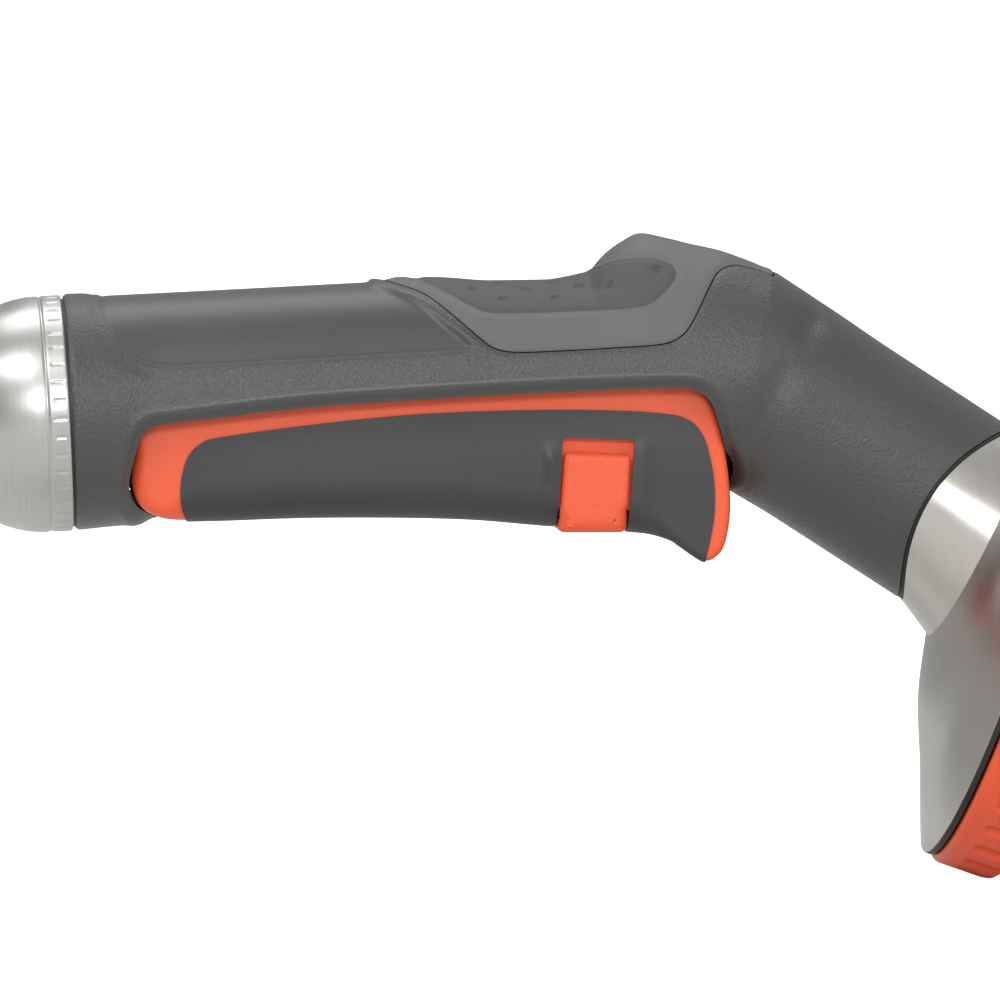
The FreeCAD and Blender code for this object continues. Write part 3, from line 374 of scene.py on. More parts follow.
def trimmed(spots, keep):
    """A grid's faces where keep is positive, with the cut edge's points moved onto keep = 0."""
    rows, columns = keep.shape
    centre = (keep[:-1, :-1] + keep[1:, :-1] + keep[:-1, 1:] + keep[1:, 1:]) / 4
    kept = centre > 0
    touch_kept, touch_cut = np.zeros(keep.shape, bool), np.zeros(keep.shape, bool)
    for di in (0, 1):
        for dj in (0, 1):
            touch_kept[di:rows - 1 + di, dj:columns - 1 + dj] |= kept
            touch_cut[di:rows - 1 + di, dj:columns - 1 + dj] |= ~kept
    moved = spots.copy()
    for i, j in zip(*np.nonzero(touch_kept & touch_cut)):
        best = None
        for di in (-1, 0, 1):
            for dj in (-1, 0, 1):
                a, b = i + di, j + dj
                if (di or dj) and 0 <= a < rows and 0 <= b < columns and keep[a, b] * keep[i, j] < 0:
                    share = keep[i, j] / (keep[i, j] - keep[a, b])
                    step = (spots[a, b] - spots[i, j]) * share
                    if best is None or step @ step < best @ best:
                        best = step
        if best is not None:
            moved[i, j] = spots[i, j] + best
    faces = [(i * columns + j, i * columns + j + 1, (i + 1) * columns + j + 1, (i + 1) * columns + j)
             for i, j in zip(*np.nonzero(kept))]
    used = sorted({p for face in faces for p in face})
    place = {p: k for k, p in enumerate(used)}
    return moved.reshape(-1, 3)[used], [tuple(place[p] for p in face) for face in faces], used


def baked(made, smooth_below=40):
    """Turns a piece's modifiers into plain mesh."""
    depsgraph = bpy.context.evaluated_depsgraph_get()
    mesh = bpy.data.meshes.new_from_object(made.evaluated_get(depsgraph), depsgraph=depsgraph)
    old, made.data = made.data, mesh
    made.modifiers.clear()
    bpy.data.meshes.remove(old)
    mesh.polygons.foreach_set("use_smooth", [True] * len(mesh.polygons))
    mesh.set_sharp_from_angle(angle=math.radians(smooth_below))
    return made


def walled(made, thickness, smooth_below=40):
    """Gives an open sheet a wall on its inner side."""
    wall = made.modifiers.new("wall", "SOLIDIFY")
    wall.thickness, wall.offset, wall.use_even_offset = thickness * MM, -1, False
    return baked(made, smooth_below)


opening_line = curved([
    (57.6, -18.7), (55.7, -17.5), (53.9, -16.1), (52.8, -14.1), (52.5, -11.6), (53.1, -8.8), (54.2, -5.2),
    (55.3, -3.2), (56.9, -2.2), (60, -1.9), (64.5, -1.6), (80, -0.65), (96, -0.35), (112, -0.25), (128, -0.4),
    (140.6, -0.8), (143.6, -1.6), (145.4, -3.6), (146.5, -7.0), (147.5, -11.1), (148.3, -15.5)])
opening = np.vstack([opening_line, [(148.6, -19), (148.6, -40), (58.0, -40), (58.0, -19.2)]])
rest_line = curved([
    (94.6, 18.9), (100.7, 16.6), (105.2, 12.9), (109.2, 9.0), (111.6, 7.2), (115, 6.45), (122, 6.3),
    (131, 6.3), (137.5, 6.4), (140.6, 7.2), (142.9, 9.3), (146.2, 14.6), (148.2, 17.2), (151, 18.1),
    (154, 17.4), (157.5, 16.0)])
rest_outline = np.vstack([rest_line, [(162, 30), (96, 30)]])
panel_outline = np.vstack([curved([
    (49.6, 24), (49.6, 18), (50.0, 15.2), (50.9, 12.5), (52.8, 9.9), (56, 7.9), (60.5, 7.1), (74, 7.0),
    (90, 7.0), (102, 7.0), (107.0, 7.2), (107.6, 8.4), (103.8, 11.9), (99.4, 15.6), (93.2, 18.6)]),
    [(90, 24)]])
crease_line = np.array([(162.5, 8.5), (158.6, 3.2), (153, -7), (149.8, -14.5)])
panel_depth, lip_step, lip_bead, seat_groove, crease_depth, seam_depth = 0.55, 0.9, 0.22, 0.22, 0.75, 0.09
screw_spots = [(grip_start + 28, 11.2)] + [
    (elbow + along * math.cos(neck_tilt) + up * math.sin(neck_tilt),
     -along * math.sin(neck_tilt) + up * math.cos(neck_tilt))
    for along, up in ((neck_length * 0.3, 10.5), (neck_length * 0.6, -10.5))]
counterbore = 2.95


def shell_grid(side):
    """The outer skin of one shell with its relief, what of it is kept, and where it is polished."""
    straight = np.linspace(0, tail_start, 262)
    turn = -side * np.radians(np.linspace(0.08, 179.92, 132))
    share = np.linspace(0, 1, 26)[1:]
    last = neck_end(turn, edge_radius + 0.75)
    tail = tail_start + share[:, None] * (grip_length + last[None] - tail_start)
    length = np.vstack([np.repeat(straight[:, None], len(turn), 1), tail])
    around = np.repeat(turn[None], len(length), 0)
    spots = body_points(length, around)
    normal = outward(spots)
    flat = spots[..., [0, 2]]
    panel = signed(panel_outline, flat)
    lip = distance(opening_line, flat)
    lip_side = signed(opening, flat)
    seat = signed(rest_outline, flat)
    seam = np.minimum(np.abs(around), math.pi - np.abs(around)) * neck_radius
    relief = -panel_depth * ease(0.5 - (panel + 0.2) / 0.9)
    relief -= 0.3 * np.exp(-((panel - 0.6) / 1.1) ** 2) * ease((62 - spots[..., 0]) / 10)
    relief -= lip_step * (1 - ease(lip / 1.7)) * (spots[..., 2] < 4) * (lip_side > -1)
    relief += lip_bead * np.exp(-((lip - 2.2) / 0.7) ** 2) * (lip_side > 0)
    relief -= seat_groove * (1 - ease(seat / 0.8)) * (seat > -1)
    relief -= crease_depth * np.exp(-(distance(crease_line, flat) / 2.3) ** 2)
    relief -= seam_depth * (1 - ease(seam / 0.35))
    relief -= 0.3 * (1 - ease(length / 0.5))
    spots = spots + normal * relief[..., None]
    keep = np.minimum(lip_side, seat - 0.1)
    if side < 0:
        for x, z in screw_spots:
            keep = np.minimum(keep, np.hypot(flat[..., 0] - x, flat[..., 1] - z) - counterbore)
    polish = np.maximum(ease(0.5 - panel / 0.8), 0.75 * (1 - ease((lip - 2.2) / 0.8)))
    return spots, keep, np.clip(polish, 0, 1)


def screw_well(x, z, floor, inner, outer, skin, steps=48):
    """A blind tube along Y from its floor out to just under the skin's points."""
    turn = np.linspace(0, 2 * math.pi, steps, endpoint=False)
    flat = skin.reshape(-1, 3)
    points = []
    for depth, radius, to_skin in ((floor, 0.3, 0), (floor, inner, 0), (0.35, inner, 1), (0.5, outer, 1),
                                   (floor - 1.2, outer, 0), (floor - 1.2, 0.3, 0)):
        for t in turn:
            at = np.array([x + radius * math.cos(t), z + radius * math.sin(t)])
            near = flat[np.argmin(((flat[:, [0, 2]] - at) ** 2).sum(1))][1]
            points.append((at[0], near - depth if to_skin else depth, at[1]))
    return points, ring_grid(6, steps)


shells = ((1, "grip_shell_near", "handle_shell_left"), (-1, "grip_shell_far", "handle_shell_right"))
for side, name, node in shells:
    spots, keep, polish = shell_grid(side)
    points, faces, used = trimmed(spots, keep)
    shell = bpy.data.meshes.new(name)
    shell.from_pydata([tuple(p) for p in points * MM], [], faces)
    level = shell.attributes.new("polish", "FLOAT", "POINT")
    level.data.foreach_set("value", polish.reshape(-1)[used])
    shell.materials.append(nylon)
    grip = bpy.data.objects.new(name, shell)
    bpy.context.scene.collection.objects.link(grip)
    facing = shell.polygons[len(faces) // 3]
    if facing.normal.dot(facing.center - Vector((facing.center.x, 0, 0))) < 0:
        shell.flip_normals()
    walled(grip, shell_wall)
    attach(grip, "handle")
    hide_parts(node)

well_floor = 7.4
for number, (x, z) in enumerate(screw_spots, start=1):
    points, faces = screw_well(x, z, well_floor, counterbore - 0.05, counterbore + 1.2, spots)
    well = piece_from(f"screw_well_{number}", points, faces, nylon)
    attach(well, "handle")

# ------------------------------------------------------------------ thumb rest
# A grey soft-touch overmould (TPE) that fills a seat in the top of the grip and swells into a hump
# behind the thumb. It is shot after the shells, which leaves a fine dark line round it.
# TPE, satin mould: dull and slightly dusty, with broad weak highlights.
tpe_grey = moulded("tpe_grey_satin", "#5a5a59", "#636362", 0.6, 0.5, 0.010, ior=1.48, spread=0.05)
pad_line = curved([
    (99.2, 19.4), (101.9, 17.9), (105.4, 15.9), (108.6, 13.9), (112, 12.8), (122.5, 12.4), (133.5, 12.4),
    (137.2, 13.2), (140.0, 15.4), (141.3, 17.2), (140.6, 18.9), (138, 19.9), (134.5, 20.1), (131, 19.6),
    (128, 18.7), (125.6, 21.5)])
pad_outline = np.vstack([pad_line, [(125, 30), (98, 30)]])


def top_grid(first, last, rows, columns, half_turn=1.42):
    """Points of the grip's top between two lengths along it, and how far round each of them is."""
    length = np.repeat(np.linspace(first, last, rows)[:, None], columns, 1)
    around = np.repeat(np.linspace(-half_turn, half_turn, columns)[None], rows, 0)
    return body_points(length, around), around


spots, _ = top_grid(51, 122, 168, 132)
flat = spots[..., [0, 2]]
edge = -signed(rest_outline, flat)
pad_edge = signed(pad_outline, flat)
relief = 0.06 - 0.35 * (1 - ease(edge / 0.7)) - 0.3 * (1 - ease(pad_edge / 1.2)) * (pad_edge > -1)
spots = spots + outward(spots) * relief[..., None]
points, faces, _ = trimmed(spots, np.minimum(edge - 0.1, pad_edge))
rest = walled(piece_from("thumb_rest_cover", points, faces, tpe_grey), 1.35)
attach(rest, "handle")
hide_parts("thumb_rest")

# ------------------------------------------------------------------ thumb pad
# The darker insert in the thumb rest, scooped for the thumb, with staggered rows of small dimples.
# Softer TPE, plain mould: darker and even duller than the rest round it.
tpe_dark = moulded("tpe_dark_dull", "#454545", "#4d4d4c", 0.62, 0.6, 0.010, ior=1.48, spread=0.05)
dimple_pitch, dimple_radius, dimple_depth = 8.3, 0.7, 0.42
dimple_start, dimple_stagger, top_radius = 109.2, 0.53, 17.6
spots, around = top_grid(55, 99, 150, 190, 1.2)
flat = spots[..., [0, 2]]
pad_edge = -signed(pad_outline, flat)
relief = -0.28 - 0.75 * ease((pad_edge - 0.5) / 6) + 0.2 * ease(pad_edge / 0.6)
row_step = math.radians(11.4)
for row in range(-3, 4):
    row_turn = row * row_step
    for k in range(4):
        x = dimple_start + dimple_pitch * (k + dimple_stagger * (row % 2))
        off = np.hypot(spots[..., 0] - x, (around - row_turn) * top_radius)
        relief -= dimple_depth * np.exp(-(off / dimple_radius) ** 4) * (pad_edge > 1)
spots = spots + outward(spots) * relief[..., None]
points, faces, _ = trimmed(spots, pad_edge - 0.02)
pad = walled(piece_from("thumb_pad_insert", points, faces, tpe_dark), 0.9)
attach(pad, "handle")
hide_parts("thumb_pad")

# ------------------------------------------------------------------ squeeze lever
# The lever under the grip, a channel moulded in orange polypropylene, open at the top over the water
# tube. Its rear end is a barrel round the pivot pin and its front end a blunt hook.
# Orange polypropylene, satin mould: saturated, with soft wide highlights.
orange_satin = moulded("polypropylene_orange_satin", "#e0512b", "#e95e36", 0.38, 0.7, 0.006, ior=1.49,
                       spread=0.04)


def slab(name, outline, half_width, edges, material, strip, lift=None, cell=1.1, bites=6, grow=0.0):
    """A plate across Y from a closed outline, its two edges rounded by the radii in edges. Strip tells
    where the rim is closed from side to side, lift raises the flanks at (x, z), grow widens the outline."""
    outline = np.asarray(outline, float)
    ahead = np.roll(outline, -1, axis=0) - np.roll(outline, 1, axis=0)
    ahead /= np.maximum(np.linalg.norm(ahead, axis=1, keepdims=True), 1e-9)
    inward = np.stack([-ahead[:, 1], ahead[:, 0]], 1)
    if (outline[:, 0] * np.roll(outline[:, 1], -1) - np.roll(outline[:, 0], -1) * outline[:, 1]).sum() < 0:
        inward = -inward
    outline = outline - inward * grow
    edges = np.broadcast_to(edges, len(outline))
    bends = np.radians(np.linspace(0, 90, bites + 1))
    rings = [(outline + inward * (edges * (1 - math.cos(b)))[:, None], half_width - edges * (1 - math.sin(b)))
             for b in bends]
    last = rings[-1][0]
    low, high = last.min(0), last.max(0)
    cells = np.stack(np.meshgrid(np.arange(low[0], high[0], cell), np.arange(low[1], high[1], cell)), -1)
    cells = cells.reshape(-1, 2)
    cells = cells[signed(last, cells) < -0.55 * cell]
    flank = np.vstack([last, cells])
    count = len(outline)
    border = [(k, (k + 1) % count) for k in range(count)]
    found = delaunay_2d_cdt([Vector(p) for p in flank], border, [], 1, 1e-5)
    flank, triangles = np.array([tuple(p) for p in found[0]]), found[2]
    points, faces = [], []
    for side in (-1, 1):
        base = len(points)
        for ring, y in rings:
            height = y if lift is None else y + lift(ring[:, 0], ring[:, 1])
            points += [(p[0], side * h, p[1]) for p, h in zip(ring, height)]
        faces += [tuple(base + p for p in f) for f in ring_grid(bites + 1, count)]
        base = len(points)
        raised = 0 if lift is None else lift(flank[:, 0], flank[:, 1])
        raised = np.broadcast_to(raised, len(flank))
        points += [(p[0], side * (half_width + r), p[1]) for p, r in zip(flank, raised)]
        faces += [tuple(base + p for p in f) for f in triangles]
    other = (bites + 1) * count + len(flank)
    across = 9
    base = len(points)
    for k in range(across + 1):
        share = k / across
        points += [tuple(np.array(points[i]) * (1 - share) + np.array(points[other + i]) * share)
                   for i in range(count)]
    for k in range(across):
        faces += [(base + k * count + i, base + k * count + (i + 1) % count,
                   base + (k + 1) * count + (i + 1) % count, base + (k + 1) * count + i)
                  for i in range(count) if strip[i] and strip[(i + 1) % count]]
    return piece_from(name, points, faces, material)


lever_line = curved([
    (53.6, -14.0), (52.9, -11.4), (53.1, -7.6), (53.9, -3.8), (56.4, -1.6), (61, -0.7), (75, 0.3), (100, 0.8),
    (130, 0.8), (141.5, 0.2), (145.0, -1.6), (146.6, -5.5), (147.5, -11), (148.0, -17), (147.8, -22),
    (146.7, -26.4), (145.2, -28.2), (143.4, -28.7), (141.2, -27.3), (138.6, -25.2), (135.2, -23.9),
    (131, -23.3), (125, -22.5), (117, -21.5), (107, -20.1), (95, -19.1), (80, -18.3), (66, -18.0),
    (59.8, -17.6), (56.4, -16.7), (54.6, -15.5)], True, 6)


def edge_radii(line, belly, top, tip):
    """Rounding of the lever's rim: large under the belly, small along the hidden top and at the tip."""
    low = ease((-7 - line[:, 1]) / 5)
    front = ease((line[:, 0] - 130) / 10)
    rear = ease((64 - line[:, 0]) / 8)
    radii = top + (belly - top) * low
    radii = radii + (tip - radii) * front
    return radii + (2.3 - radii) * rear * ease((-3 - line[:, 1]) / 3)


lever_half, lever_wall = 12.15, 2.5
lever_edges = edge_radii(lever_line, 5.6, 0.8, 1.2)
below_top = lever_line[:, 1] < -1.2
lever = slab("squeeze_lever", lever_line, lever_half, lever_edges, orange_satin, below_top)
walled(lever, lever_wall)

lock_left, lock_right, lock_lean, lock_foot = 119.9, 131.4, math.radians(6.8), -23.4
LEAN = math.tan(lock_lean)


def cutter(corners, near, far):
    """A bar of the given outline between two values of Y, for cutting with."""
    count = len(corners)
    points = [(x, y, z) for y in (near, far) for x, z in corners]
    faces = [tuple(range(count)), tuple(range(2 * count - 1, count - 1, -1))]
    faces += [(k, k + count, (k + 1) % count + count, (k + 1) % count) for k in range(count)]
    return piece_from("cutter", points, faces, orange_satin)


def window_corners(gap, foot, top, foot_drop=0.0, top_drop=1.0):
    """A leaning window's four corners, its lower and upper edges dropping towards the front."""
    corners = ((lock_left + gap, foot), (lock_right - gap, foot - foot_drop),
               (lock_right - gap, top - top_drop), (lock_left + gap, top))
    return [(x + (z - lock_foot) * LEAN, z) for x, z in corners]


def cut_out(made, tools, way="DIFFERENCE"):
    for tool in tools:
        away = made.modifiers.new("cut", "BOOLEAN")
        away.operation, away.solver, away.object = way, "EXACT", tool
    baked(made, 35)
    for tool in tools:
        bpy.data.objects.remove(tool)


window_top, pocket_floor = -7.9, 10.75
cut_out(lever, [cutter(window_corners(0, -40, window_top), -20, -pocket_floor),
                cutter(window_corners(0, -40, window_top), pocket_floor, 20),
                cutter(window_corners(0, -40, -18.9), -11.4, 11.4)])
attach(lever, "trigger")
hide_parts("trigger")

# ------------------------------------------------------------------ finger pad
# Black soft-touch skin (TPE) moulded over the lever's belly and flanks, proud of the orange by a hair,
# with a rib beside the lock button that the finger finds.
# Black TPE, satin mould: soft bluish black with a wide, low sheen.
tpe_black = moulded("tpe_black_satin", "#2d2d2e", "#363636", 0.46, 0.8, 0.008, ior=1.5, spread=0.05)
finger_line = curved([
    (62.6, -22), (61.5, -18.2), (60.6, -15.6), (60.5, -12.6), (61.1, -9.6), (62.2, -7.2), (64.0, -5.6),
    (67, -4.7), (80, -3.6), (96, -2.8), (112, -2.9), (128, -3.7), (138.0, -4.8), (141.9, -6.0), (144.0, -8.4),
    (145.0, -12), (145.5, -16.5), (145.3, -21), (144.5, -25.0), (143.4, -29), (142.6, -34)], False, 6)


def finger_lift(x, z):
    """How far the pad's flank stands out at a spot: a rib on each side of the lock, and a low crown."""
    lean_x = x - (z - lock_foot) * LEAN
    rear_rib = np.exp(-((lean_x - lock_left + 1.7) / 0.85) ** 2)
    front_rib = 0.5 * np.exp(-((lean_x - lock_right - 1.5) / 1.0) ** 2)
    crown = 0.25 * np.exp(-((z + 12.5) / 6) ** 2) * ease((x - 66) / 10)
    return 0.55 * (rear_rib + front_rib) * ease((-8.5 - z) / 2) + crown


finger_pad = slab("finger_pad_skin", lever_line, lever_half + 0.22, lever_edges, tpe_black, below_top,
                  finger_lift, 0.8, grow=0.25)
walled(finger_pad, 0.8)
cut_out(finger_pad, [cutter(np.vstack([finger_line, [(142.6, -40), (62.6, -40)]]), -20, 20)], "INTERSECT")
cut_out(finger_pad, [cutter(window_corners(0, -45, window_top + 0.1), -20, 20)])
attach(finger_pad, "trigger")
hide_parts("trigger_pad")

# ------------------------------------------------------------------ lock button
# The orange button in the lever that holds it squeezed. It wraps under the belly, and a coarse
# grain on its face keeps the finger from slipping.
# Orange polypropylene, coarse mould grain: a matt, sugary face.
orange_grained = moulded("polypropylene_orange_grained", "#dd4f2b", "#e55a35", 0.42, 0.55, 0.13, ior=1.49,
                         spread=0.1)
button_top, button_gap, button_half, button_round = -10.05, 0.3, 12.75, 1.1
button_corners = [np.array(p) for p in window_corners(button_gap, lock_foot + 0.5, button_top, 0.6)]
button_line = []
for k in range(4):
    before, corner, after = (button_corners[(k + i) % 4] for i in (-1, 0, 1))
    into = (before - corner) / np.linalg.norm(before - corner) * button_round
    out_of = (after - corner) / np.linalg.norm(after - corner) * button_round
    for t in np.linspace(0, 1, 6):
        button_line.append((1 - t) ** 2 * (corner + into) + 2 * t * (1 - t) * corner
                           + t ** 2 * (corner + out_of))
    for t in np.linspace(0.12, 0.88, 8):
        button_line.append(corner + out_of + (after - out_of - corner - out_of) * t)
button_line = np.array(button_line)
button_edges = np.where(button_line[:, 1] < -20, 2.2, 1.0)
all_round = np.ones(len(button_line), bool)
button = slab("lock_button_cap", button_line, button_half, button_edges, orange_grained, all_round, cell=0.8)
hollow = cutter([(110, -20.7), (140, -20.7), (140, 0), (110, 0)], -11.2, 11.2)
cut_out(button, [hollow])
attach(button, "lock")
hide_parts("lock_button")

# ------------------------------------------------------------------ head casing
# One pressed stainless cover from the neck's end, out over the round head to its rim, polished and
# then brushed lightly. Its back edge is cut to a drum's curve where it meets the neck.
# Stainless steel, soft brushed: almost mirror-like bands with a fine haze.
casing_steel = brushed("stainless_soft_brushed", "#bbb8b2", "#cac7c2", 0.26, 0.3, streak_mm=20, soft_mm=18)
head_joint = next(j for j in frame["record"]["behaviour"]["joints"] if j["name"] == "selector_turn")
head_at = np.array(head_joint["pos_m"]) / MM
head_axis = np.array(head_joint["axis"])
head_tilt = math.degrees(math.atan2(-head_axis[2], head_axis[0]))
# centre x, centre z, radius, tilt
fans = np.array([(188.4, -27.5, 18.1, 29.3), (188.85, -32.3, 22.75, 28.8), (189.75, -40.15, 28.5, 25.45),
                 (head_at[0], head_at[2], 35.0, head_tilt)])
along_fans = np.array([0, 9, 22.5, 35.0])
turn = np.linspace(-math.pi, math.pi, 240, endpoint=False)


def section(x, z, radius, tilt, turn):
    up = radius * np.cos(turn)
    tilt = math.radians(tilt)
    return np.stack([x + up * math.sin(tilt), radius * np.sin(turn), z + up * math.cos(tilt)], -1)


def on_neck(along, turn, radius=neck_radius):
    up = radius * np.cos(turn)
    return np.stack([elbow + along * math.cos(neck_tilt) + up * math.sin(neck_tilt), radius * np.sin(turn),
                     -along * math.sin(neck_tilt) + up * math.cos(neck_tilt)], -1)


start = on_neck(neck_end(turn, edge_radius), turn)
first_fan = section(*fans[0], turn)
rows = [start + (first_fan - start) * share for share in np.linspace(0, 1, 14)]
for at in np.linspace(0, 35, 46)[1:]:
    rows.append(section(*[float(flow(along_fans, fans[:, k], at)) for k in range(4)], turn))
casing = piece_from("head_cover", np.concatenate(rows), ring_grid(len(rows), len(turn)), casing_steel, 30)
middle = casing.data.polygons[len(casing.data.polygons) // 2]
if middle.normal.dot(middle.center - Vector((0.19, 0, -0.035))) < 0:
    casing.data.flip_normals()
walled(casing, 1.1, 30)
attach(casing, "handle")
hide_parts("head_casing")

# ------------------------------------------------------------------ neck gasket and trim ring
# Thin black EPDM rings: one in the curved joint between neck and cover, one between the cover's rim
# and the turning selector. Both are moulded and slightly rounded where they show.
# EPDM rubber: near black, with a dull even sheen.
epdm = moulded("epdm_black", "#141414", "#1d1d1d", 0.5, 0.6, 0.010, ior=1.52)
bands = [(edge_radius + 0.7, -0.75), (edge_radius + 0.72, -0.2), (edge_radius + 0.4, -0.06),
         (edge_radius + 0.08, -0.2), (edge_radius + 0.05, -0.75), (edge_radius + 0.05, -1.3),
         (edge_radius + 0.7, -1.3)]
rows = [on_neck(neck_end(turn, radius), turn, neck_radius + depth) for radius, depth in bands]
gasket = piece_from("neck_joint_gasket", np.concatenate(rows + rows[:1]),
                    ring_grid(len(rows) + 1, len(turn)), epdm)
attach(gasket, "handle")
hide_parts("neck_gasket")

trim_outline = [(0.0, 29.1), (0.0, 34.7), (0.15, 35.08), (1.05, 35.08), (1.2, 34.7), (1.2, 29.1)]
trim = turned("rim_trim_ring", trim_outline, epdm, head_at, head_axis, 180, 0.2)
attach(trim, "handle")
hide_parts("trim_ring")

# ------------------------------------------------------------------ selector ring
# The orange ring that the hand turns to choose a spray. Its back half is a smooth band and its front
# half is fluted for grip; it is moulded in the lever's orange.
flute_count, flute_depth = 36, 1.15
ring_start, ring_end, ring_outer, ring_inner = 1.5, 13.0, 35.9, 30.85
profile = softened([
    (ring_start + 5, ring_inner), (ring_start, ring_inner), (ring_start, ring_outer - 0.7),
    (ring_start + 0.8, ring_outer), (ring_start + 3.2, ring_outer), (ring_start + 4.2, ring_outer),
    (ring_start + 6, ring_outer), (ring_end - 3.2, ring_outer), (ring_end - 1.7, ring_outer - 0.25),
    (ring_end - 0.2, ring_outer - 1.9), (ring_end, ring_outer - 2.6), (ring_end, ring_inner),
    (ring_start + 5, ring_inner)], 0.5, 4)
steps = 720
turn = np.linspace(0, 2 * math.pi, steps, endpoint=False)
scallop = np.clip(np.cos(turn * flute_count) * 1.5 - 0.35, 0, 1) ** 0.8
side = np.array((0.0, 1.0, 0.0))
up = np.cross(head_axis, side)
spokes = np.outer(np.cos(turn), up) + np.outer(np.sin(turn), side)
rows = []
for along, radius in profile:
    depth = flute_depth * float(ease((along - ring_start - 3.4) / 1.6)) * float(radius > ring_inner + 2)
    reach = radius - depth * scallop
    rows.append(head_at + along * head_axis + reach[:, None] * spokes)
selector = piece_from("selector_grip_ring", np.concatenate(rows), ring_grid(len(rows), steps), orange_satin)
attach(selector, "selector")
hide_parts("selector_ring")

# ------------------------------------------------------------------ spray face and centre cap
# The dark face plate with its rings of holes stays as designed. A soft nipple stands round every hole,
# so that scale can be rubbed off, and a domed cap hides the screw in the middle.
face_front = 11.8
# Silicone, moulded: pale grey, dull and slightly translucent.
silicone = moulded("silicone_grey", "#8d8f90", "#a0a2a3", 0.55, 0.4, 0.008, ior=1.41)
nipple = softened([(-0.5, 1.35), (0.0, 1.3), (0.9, 1.0), (0.95, 0.75), (-0.5, 0.72), (-0.5, 1.35)], 0.15, 3)
steps = 20
turn = np.linspace(0, 2 * math.pi, steps, endpoint=False)
spokes = np.outer(np.cos(turn), up) + np.outer(np.sin(turn), side)
# Each ring of holes by its radius and its number of holes.
hole_rings = ((13, 12), (18, 18), (23, 24))
points, faces = [], []
for offset, count in hole_rings:
    for k in range(count):
        swing = k * 2 * math.pi / count
        centre = head_at + face_front * head_axis + offset * (math.cos(swing) * up + math.sin(swing) * side)
        base = len(points)
        for along, radius in nipple:
            points += list(centre + along * head_axis + radius * spokes)
        faces += [tuple(base + p for p in f) for f in ring_grid(len(nipple), steps)]
nipples = piece_from("spray_nipples", np.array(points), faces, silicone)
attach(nipples, "selector")

cap_outline = [(face_front - 0.6, 0.02), (face_front - 0.6, 5.6), (face_front + 0.25, 5.6),
               (face_front + 0.65, 5.0), (face_front + 0.95, 3.0), (face_front + 1.0, 0.02)]
cap = turned("face_centre_cap", cap_outline, acetal, head_at, head_axis, 64, 0.3)
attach(cap, "selector")
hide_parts("centre_cap")

# ------------------------------------------------------------------ parts kept as designed
# Pins, springs, screws, the strainer, the valve, the tubes, the seals and the head's inner plates keep
# their designed shapes. Each gets the finish of its real material.


def drawn(name, dark, light, roughness, line_mm):
    """Metal with short random tool marks."""
    return brushed(name, dark, light, roughness, line_mm, (0, math.radians(35), 0), 1.2, 4)


# Zinc-plated steel: bright, with short marks from the barrel it was plated in.
plated = drawn("steel_zinc_plated", "#9ea2a6", "#c6c9cc", 0.3, 0.3)
# Music wire, drawn: darker, with lengthwise lines.
wire = drawn("spring_wire_drawn", "#83868a", "#a9acae", 0.32, 0.15)
# Brass, turned: yellow, with the lathe's fine rings.
brass = brushed("brass_turned", "#a8864a", "#c9a660", 0.24, 0.2)
# Acetal again, moulded in natural black for the face, with a finer mould.
face_plate = moulded("acetal_face_plate", "#212223", "#2c2d2e", 0.36, 0.4, 0.010)
finishes = {
    plated: ("shell_screws", "trigger_pin", "valve_stem", "detent_ball", "face_axle", "inlet_strainer"),
    wire: ("trigger_spring", "lock_spring", "valve_spring", "detent_spring"),
    brass: ("valve_seat", "jet_insert"),
    epdm: ("inlet_o_ring", "collar_seal", "valve_disc", "stem_seal", "port_seal"),
    acetal: ("rear_tube", "front_tube", "valve_body", "valve_cap", "head_core", "port_plate"),
    face_plate: ("spray_face",),
}
for finish, names in finishes.items():
    for name in names:
        for holder in frame["nodes"][name].material_slots:
            holder.material = finish

# ------------------------------------------------------------------ floor, light and camera
# A pale floor under the head, an even white room, and four soft lamps. The camera stands well back on
# the grip's near side, rolled a little so that the grip climbs to the right.
# Pale paint, rolled on: matt and nearly even. It glows for the camera alone, so that the ground behind
# the part is white, and its light on the part stays that of plain paint.
floor_material, tree = new_material("floor_pale_paint")
where = add(tree, "ShaderNodeTexCoord").outputs["Object"]
tone = add(tree, "ShaderNodeTexNoise", {"Scale": 3.0, "Detail": 2}, {"Vector": where})
paint = add(tree, "ShaderNodeMix", {"data_type": "RGBA", 6: linear("#dcdcdb"), 7: linear("#e2e2e1")},
            {0: tone.outputs["Fac"]})
glow = add(tree, "ShaderNodeLightPath").outputs["Is Camera Ray"]
shader = add(tree, "ShaderNodeBsdfPrincipled",
             {"Roughness": 0.9, "IOR": 1.3, "Emission Color": linear("#ffffff")},
             {"Base Color": paint.outputs[2], "Emission Strength": glow})
add(tree, "ShaderNodeOutputMaterial", links={"Surface": shader.outputs[0]})
floor_mesh = bpy.data.meshes.new("floor")
floor_radius, floor_sides = 12.0, 64
lowest = cad_box[0][2] - 0.0002
rim = [(floor_radius * math.cos(a) + 0.1, floor_radius * math.sin(a), lowest)
       for a in np.linspace(0, 2 * math.pi, floor_sides, endpoint=False)]
floor_mesh.from_pydata(rim, [], [tuple(range(floor_sides))])
floor_mesh.materials.append(floor_material)
floor = bpy.data.objects.new("floor", floor_mesh)
bpy.context.scene.collection.objects.link(floor)

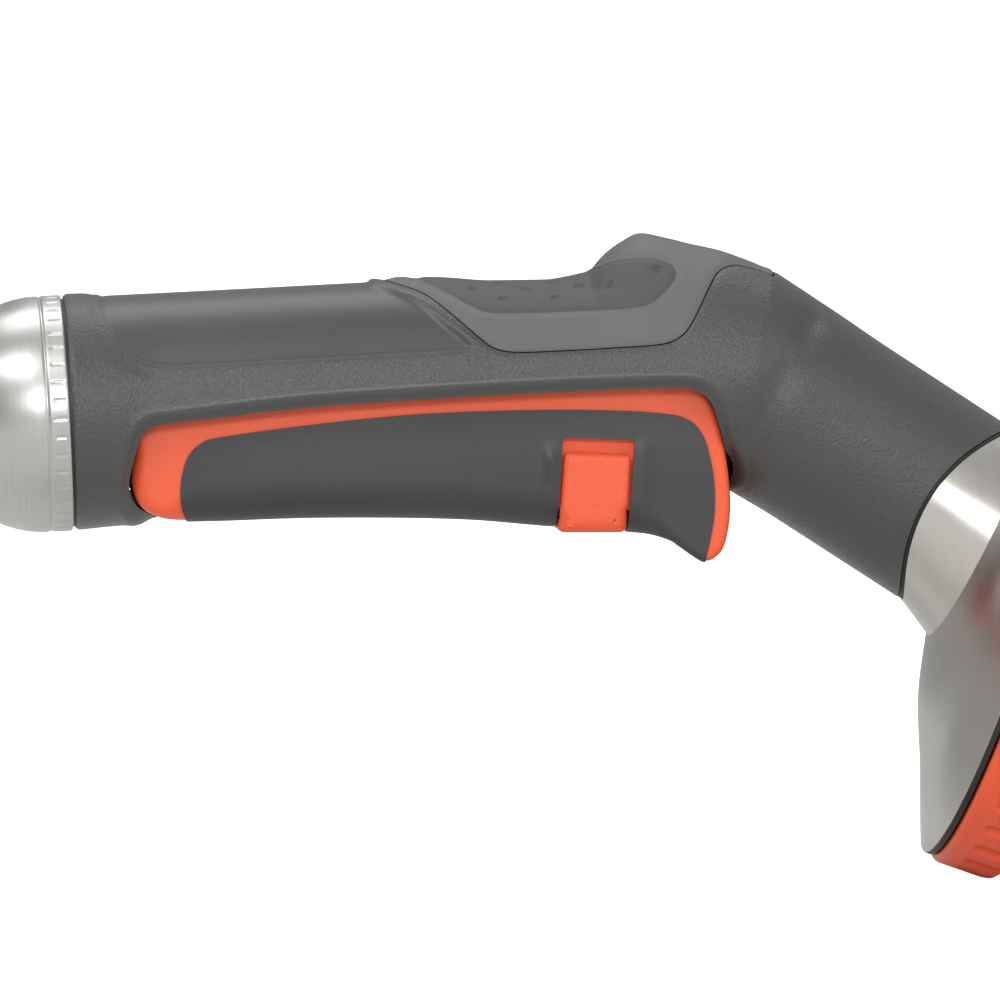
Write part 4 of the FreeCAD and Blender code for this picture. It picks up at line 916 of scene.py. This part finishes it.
world = bpy.data.worlds.new("room")
bpy.context.scene.world = world
world.use_nodes = True
tree = world.node_tree
tree.nodes.clear()
way = add(tree, "ShaderNodeTexCoord").outputs["Generated"]
height = add(tree, "ShaderNodeSeparateXYZ", links={0: way}).outputs["Z"]
walls = add(tree, "ShaderNodeMapRange", {1: -0.1, 2: 0.9, 3: 0.36, 4: 0.6}, {0: height})
seen = add(tree, "ShaderNodeLightPath").outputs["Is Camera Ray"]
level = add(tree, "ShaderNodeMix", {"data_type": "FLOAT", 3: 1.02}, {0: seen, 2: walls.outputs[0]})
shader = add(tree, "ShaderNodeBackground", {"Color": linear("#fdfdfc")}, {"Strength": level.outputs[0]})
add(tree, "ShaderNodeOutputWorld", links={"Surface": shader.outputs[0]})

target = Vector((0.112, 0.0, -0.0178))


def lamp(name, place, size, watts):
    """A soft rectangular lamp that faces the middle of the part."""
    data = bpy.data.lights.new(name, "AREA")
    data.shape, data.size, data.size_y, data.energy = "RECTANGLE", size[0], size[1], watts
    made = bpy.data.objects.new(name, data)
    bpy.context.scene.collection.objects.link(made)
    made.location = place
    made.rotation_euler = (target - Vector(place)).to_track_quat("-Z", "Y").to_euler()


lamp("key", (-0.35, -0.7, 0.95), (0.8, 0.35), 5.5)
lamp("front", (0.05, -1.25, 0.38), (0.45, 0.2), 5.5)
lamp("side", (1.0, -0.75, 0.3), (0.35, 0.6), 2.5)
lamp("top", (0.1, 0.45, 1.1), (1.0, 0.6), 4.8)

bpy.context.scene.view_settings.view_transform = "Standard"
bpy.context.scene.view_settings.look = "None"
camera_data = bpy.data.cameras.new("camera")
camera = bpy.data.objects.new("camera", camera_data)
bpy.context.scene.collection.objects.link(camera)
bpy.context.scene.camera = camera
stand_off, frame_width, sensor_width = 2.0, 0.160, 36.0
camera_data.sensor_width = sensor_width
camera_data.lens = sensor_width * stand_off / frame_width
camera_data.clip_start, camera_data.clip_end = 0.1, 20.0
yaw, climb, roll = math.radians(-3.7), math.radians(3.3), math.radians(3.0)
back = Vector((math.sin(yaw) * math.cos(climb), -math.cos(yaw) * math.cos(climb), math.sin(climb)))
level_right = (-back).cross(Vector((0, 0, 1))).normalized()
level_up = level_right.cross(-back)
right = level_right * math.cos(roll) - level_up * math.sin(roll)
upright = level_right * math.sin(roll) + level_up * math.cos(roll)
camera.matrix_world = Matrix((
    (right.x, upright.x, back.x, target.x + back.x * stand_off),
    (right.y, upright.y, back.y, target.y + back.y * stand_off),
    (right.z, upright.z, back.z, target.z + back.z * stand_off),
    (0, 0, 0, 1)))
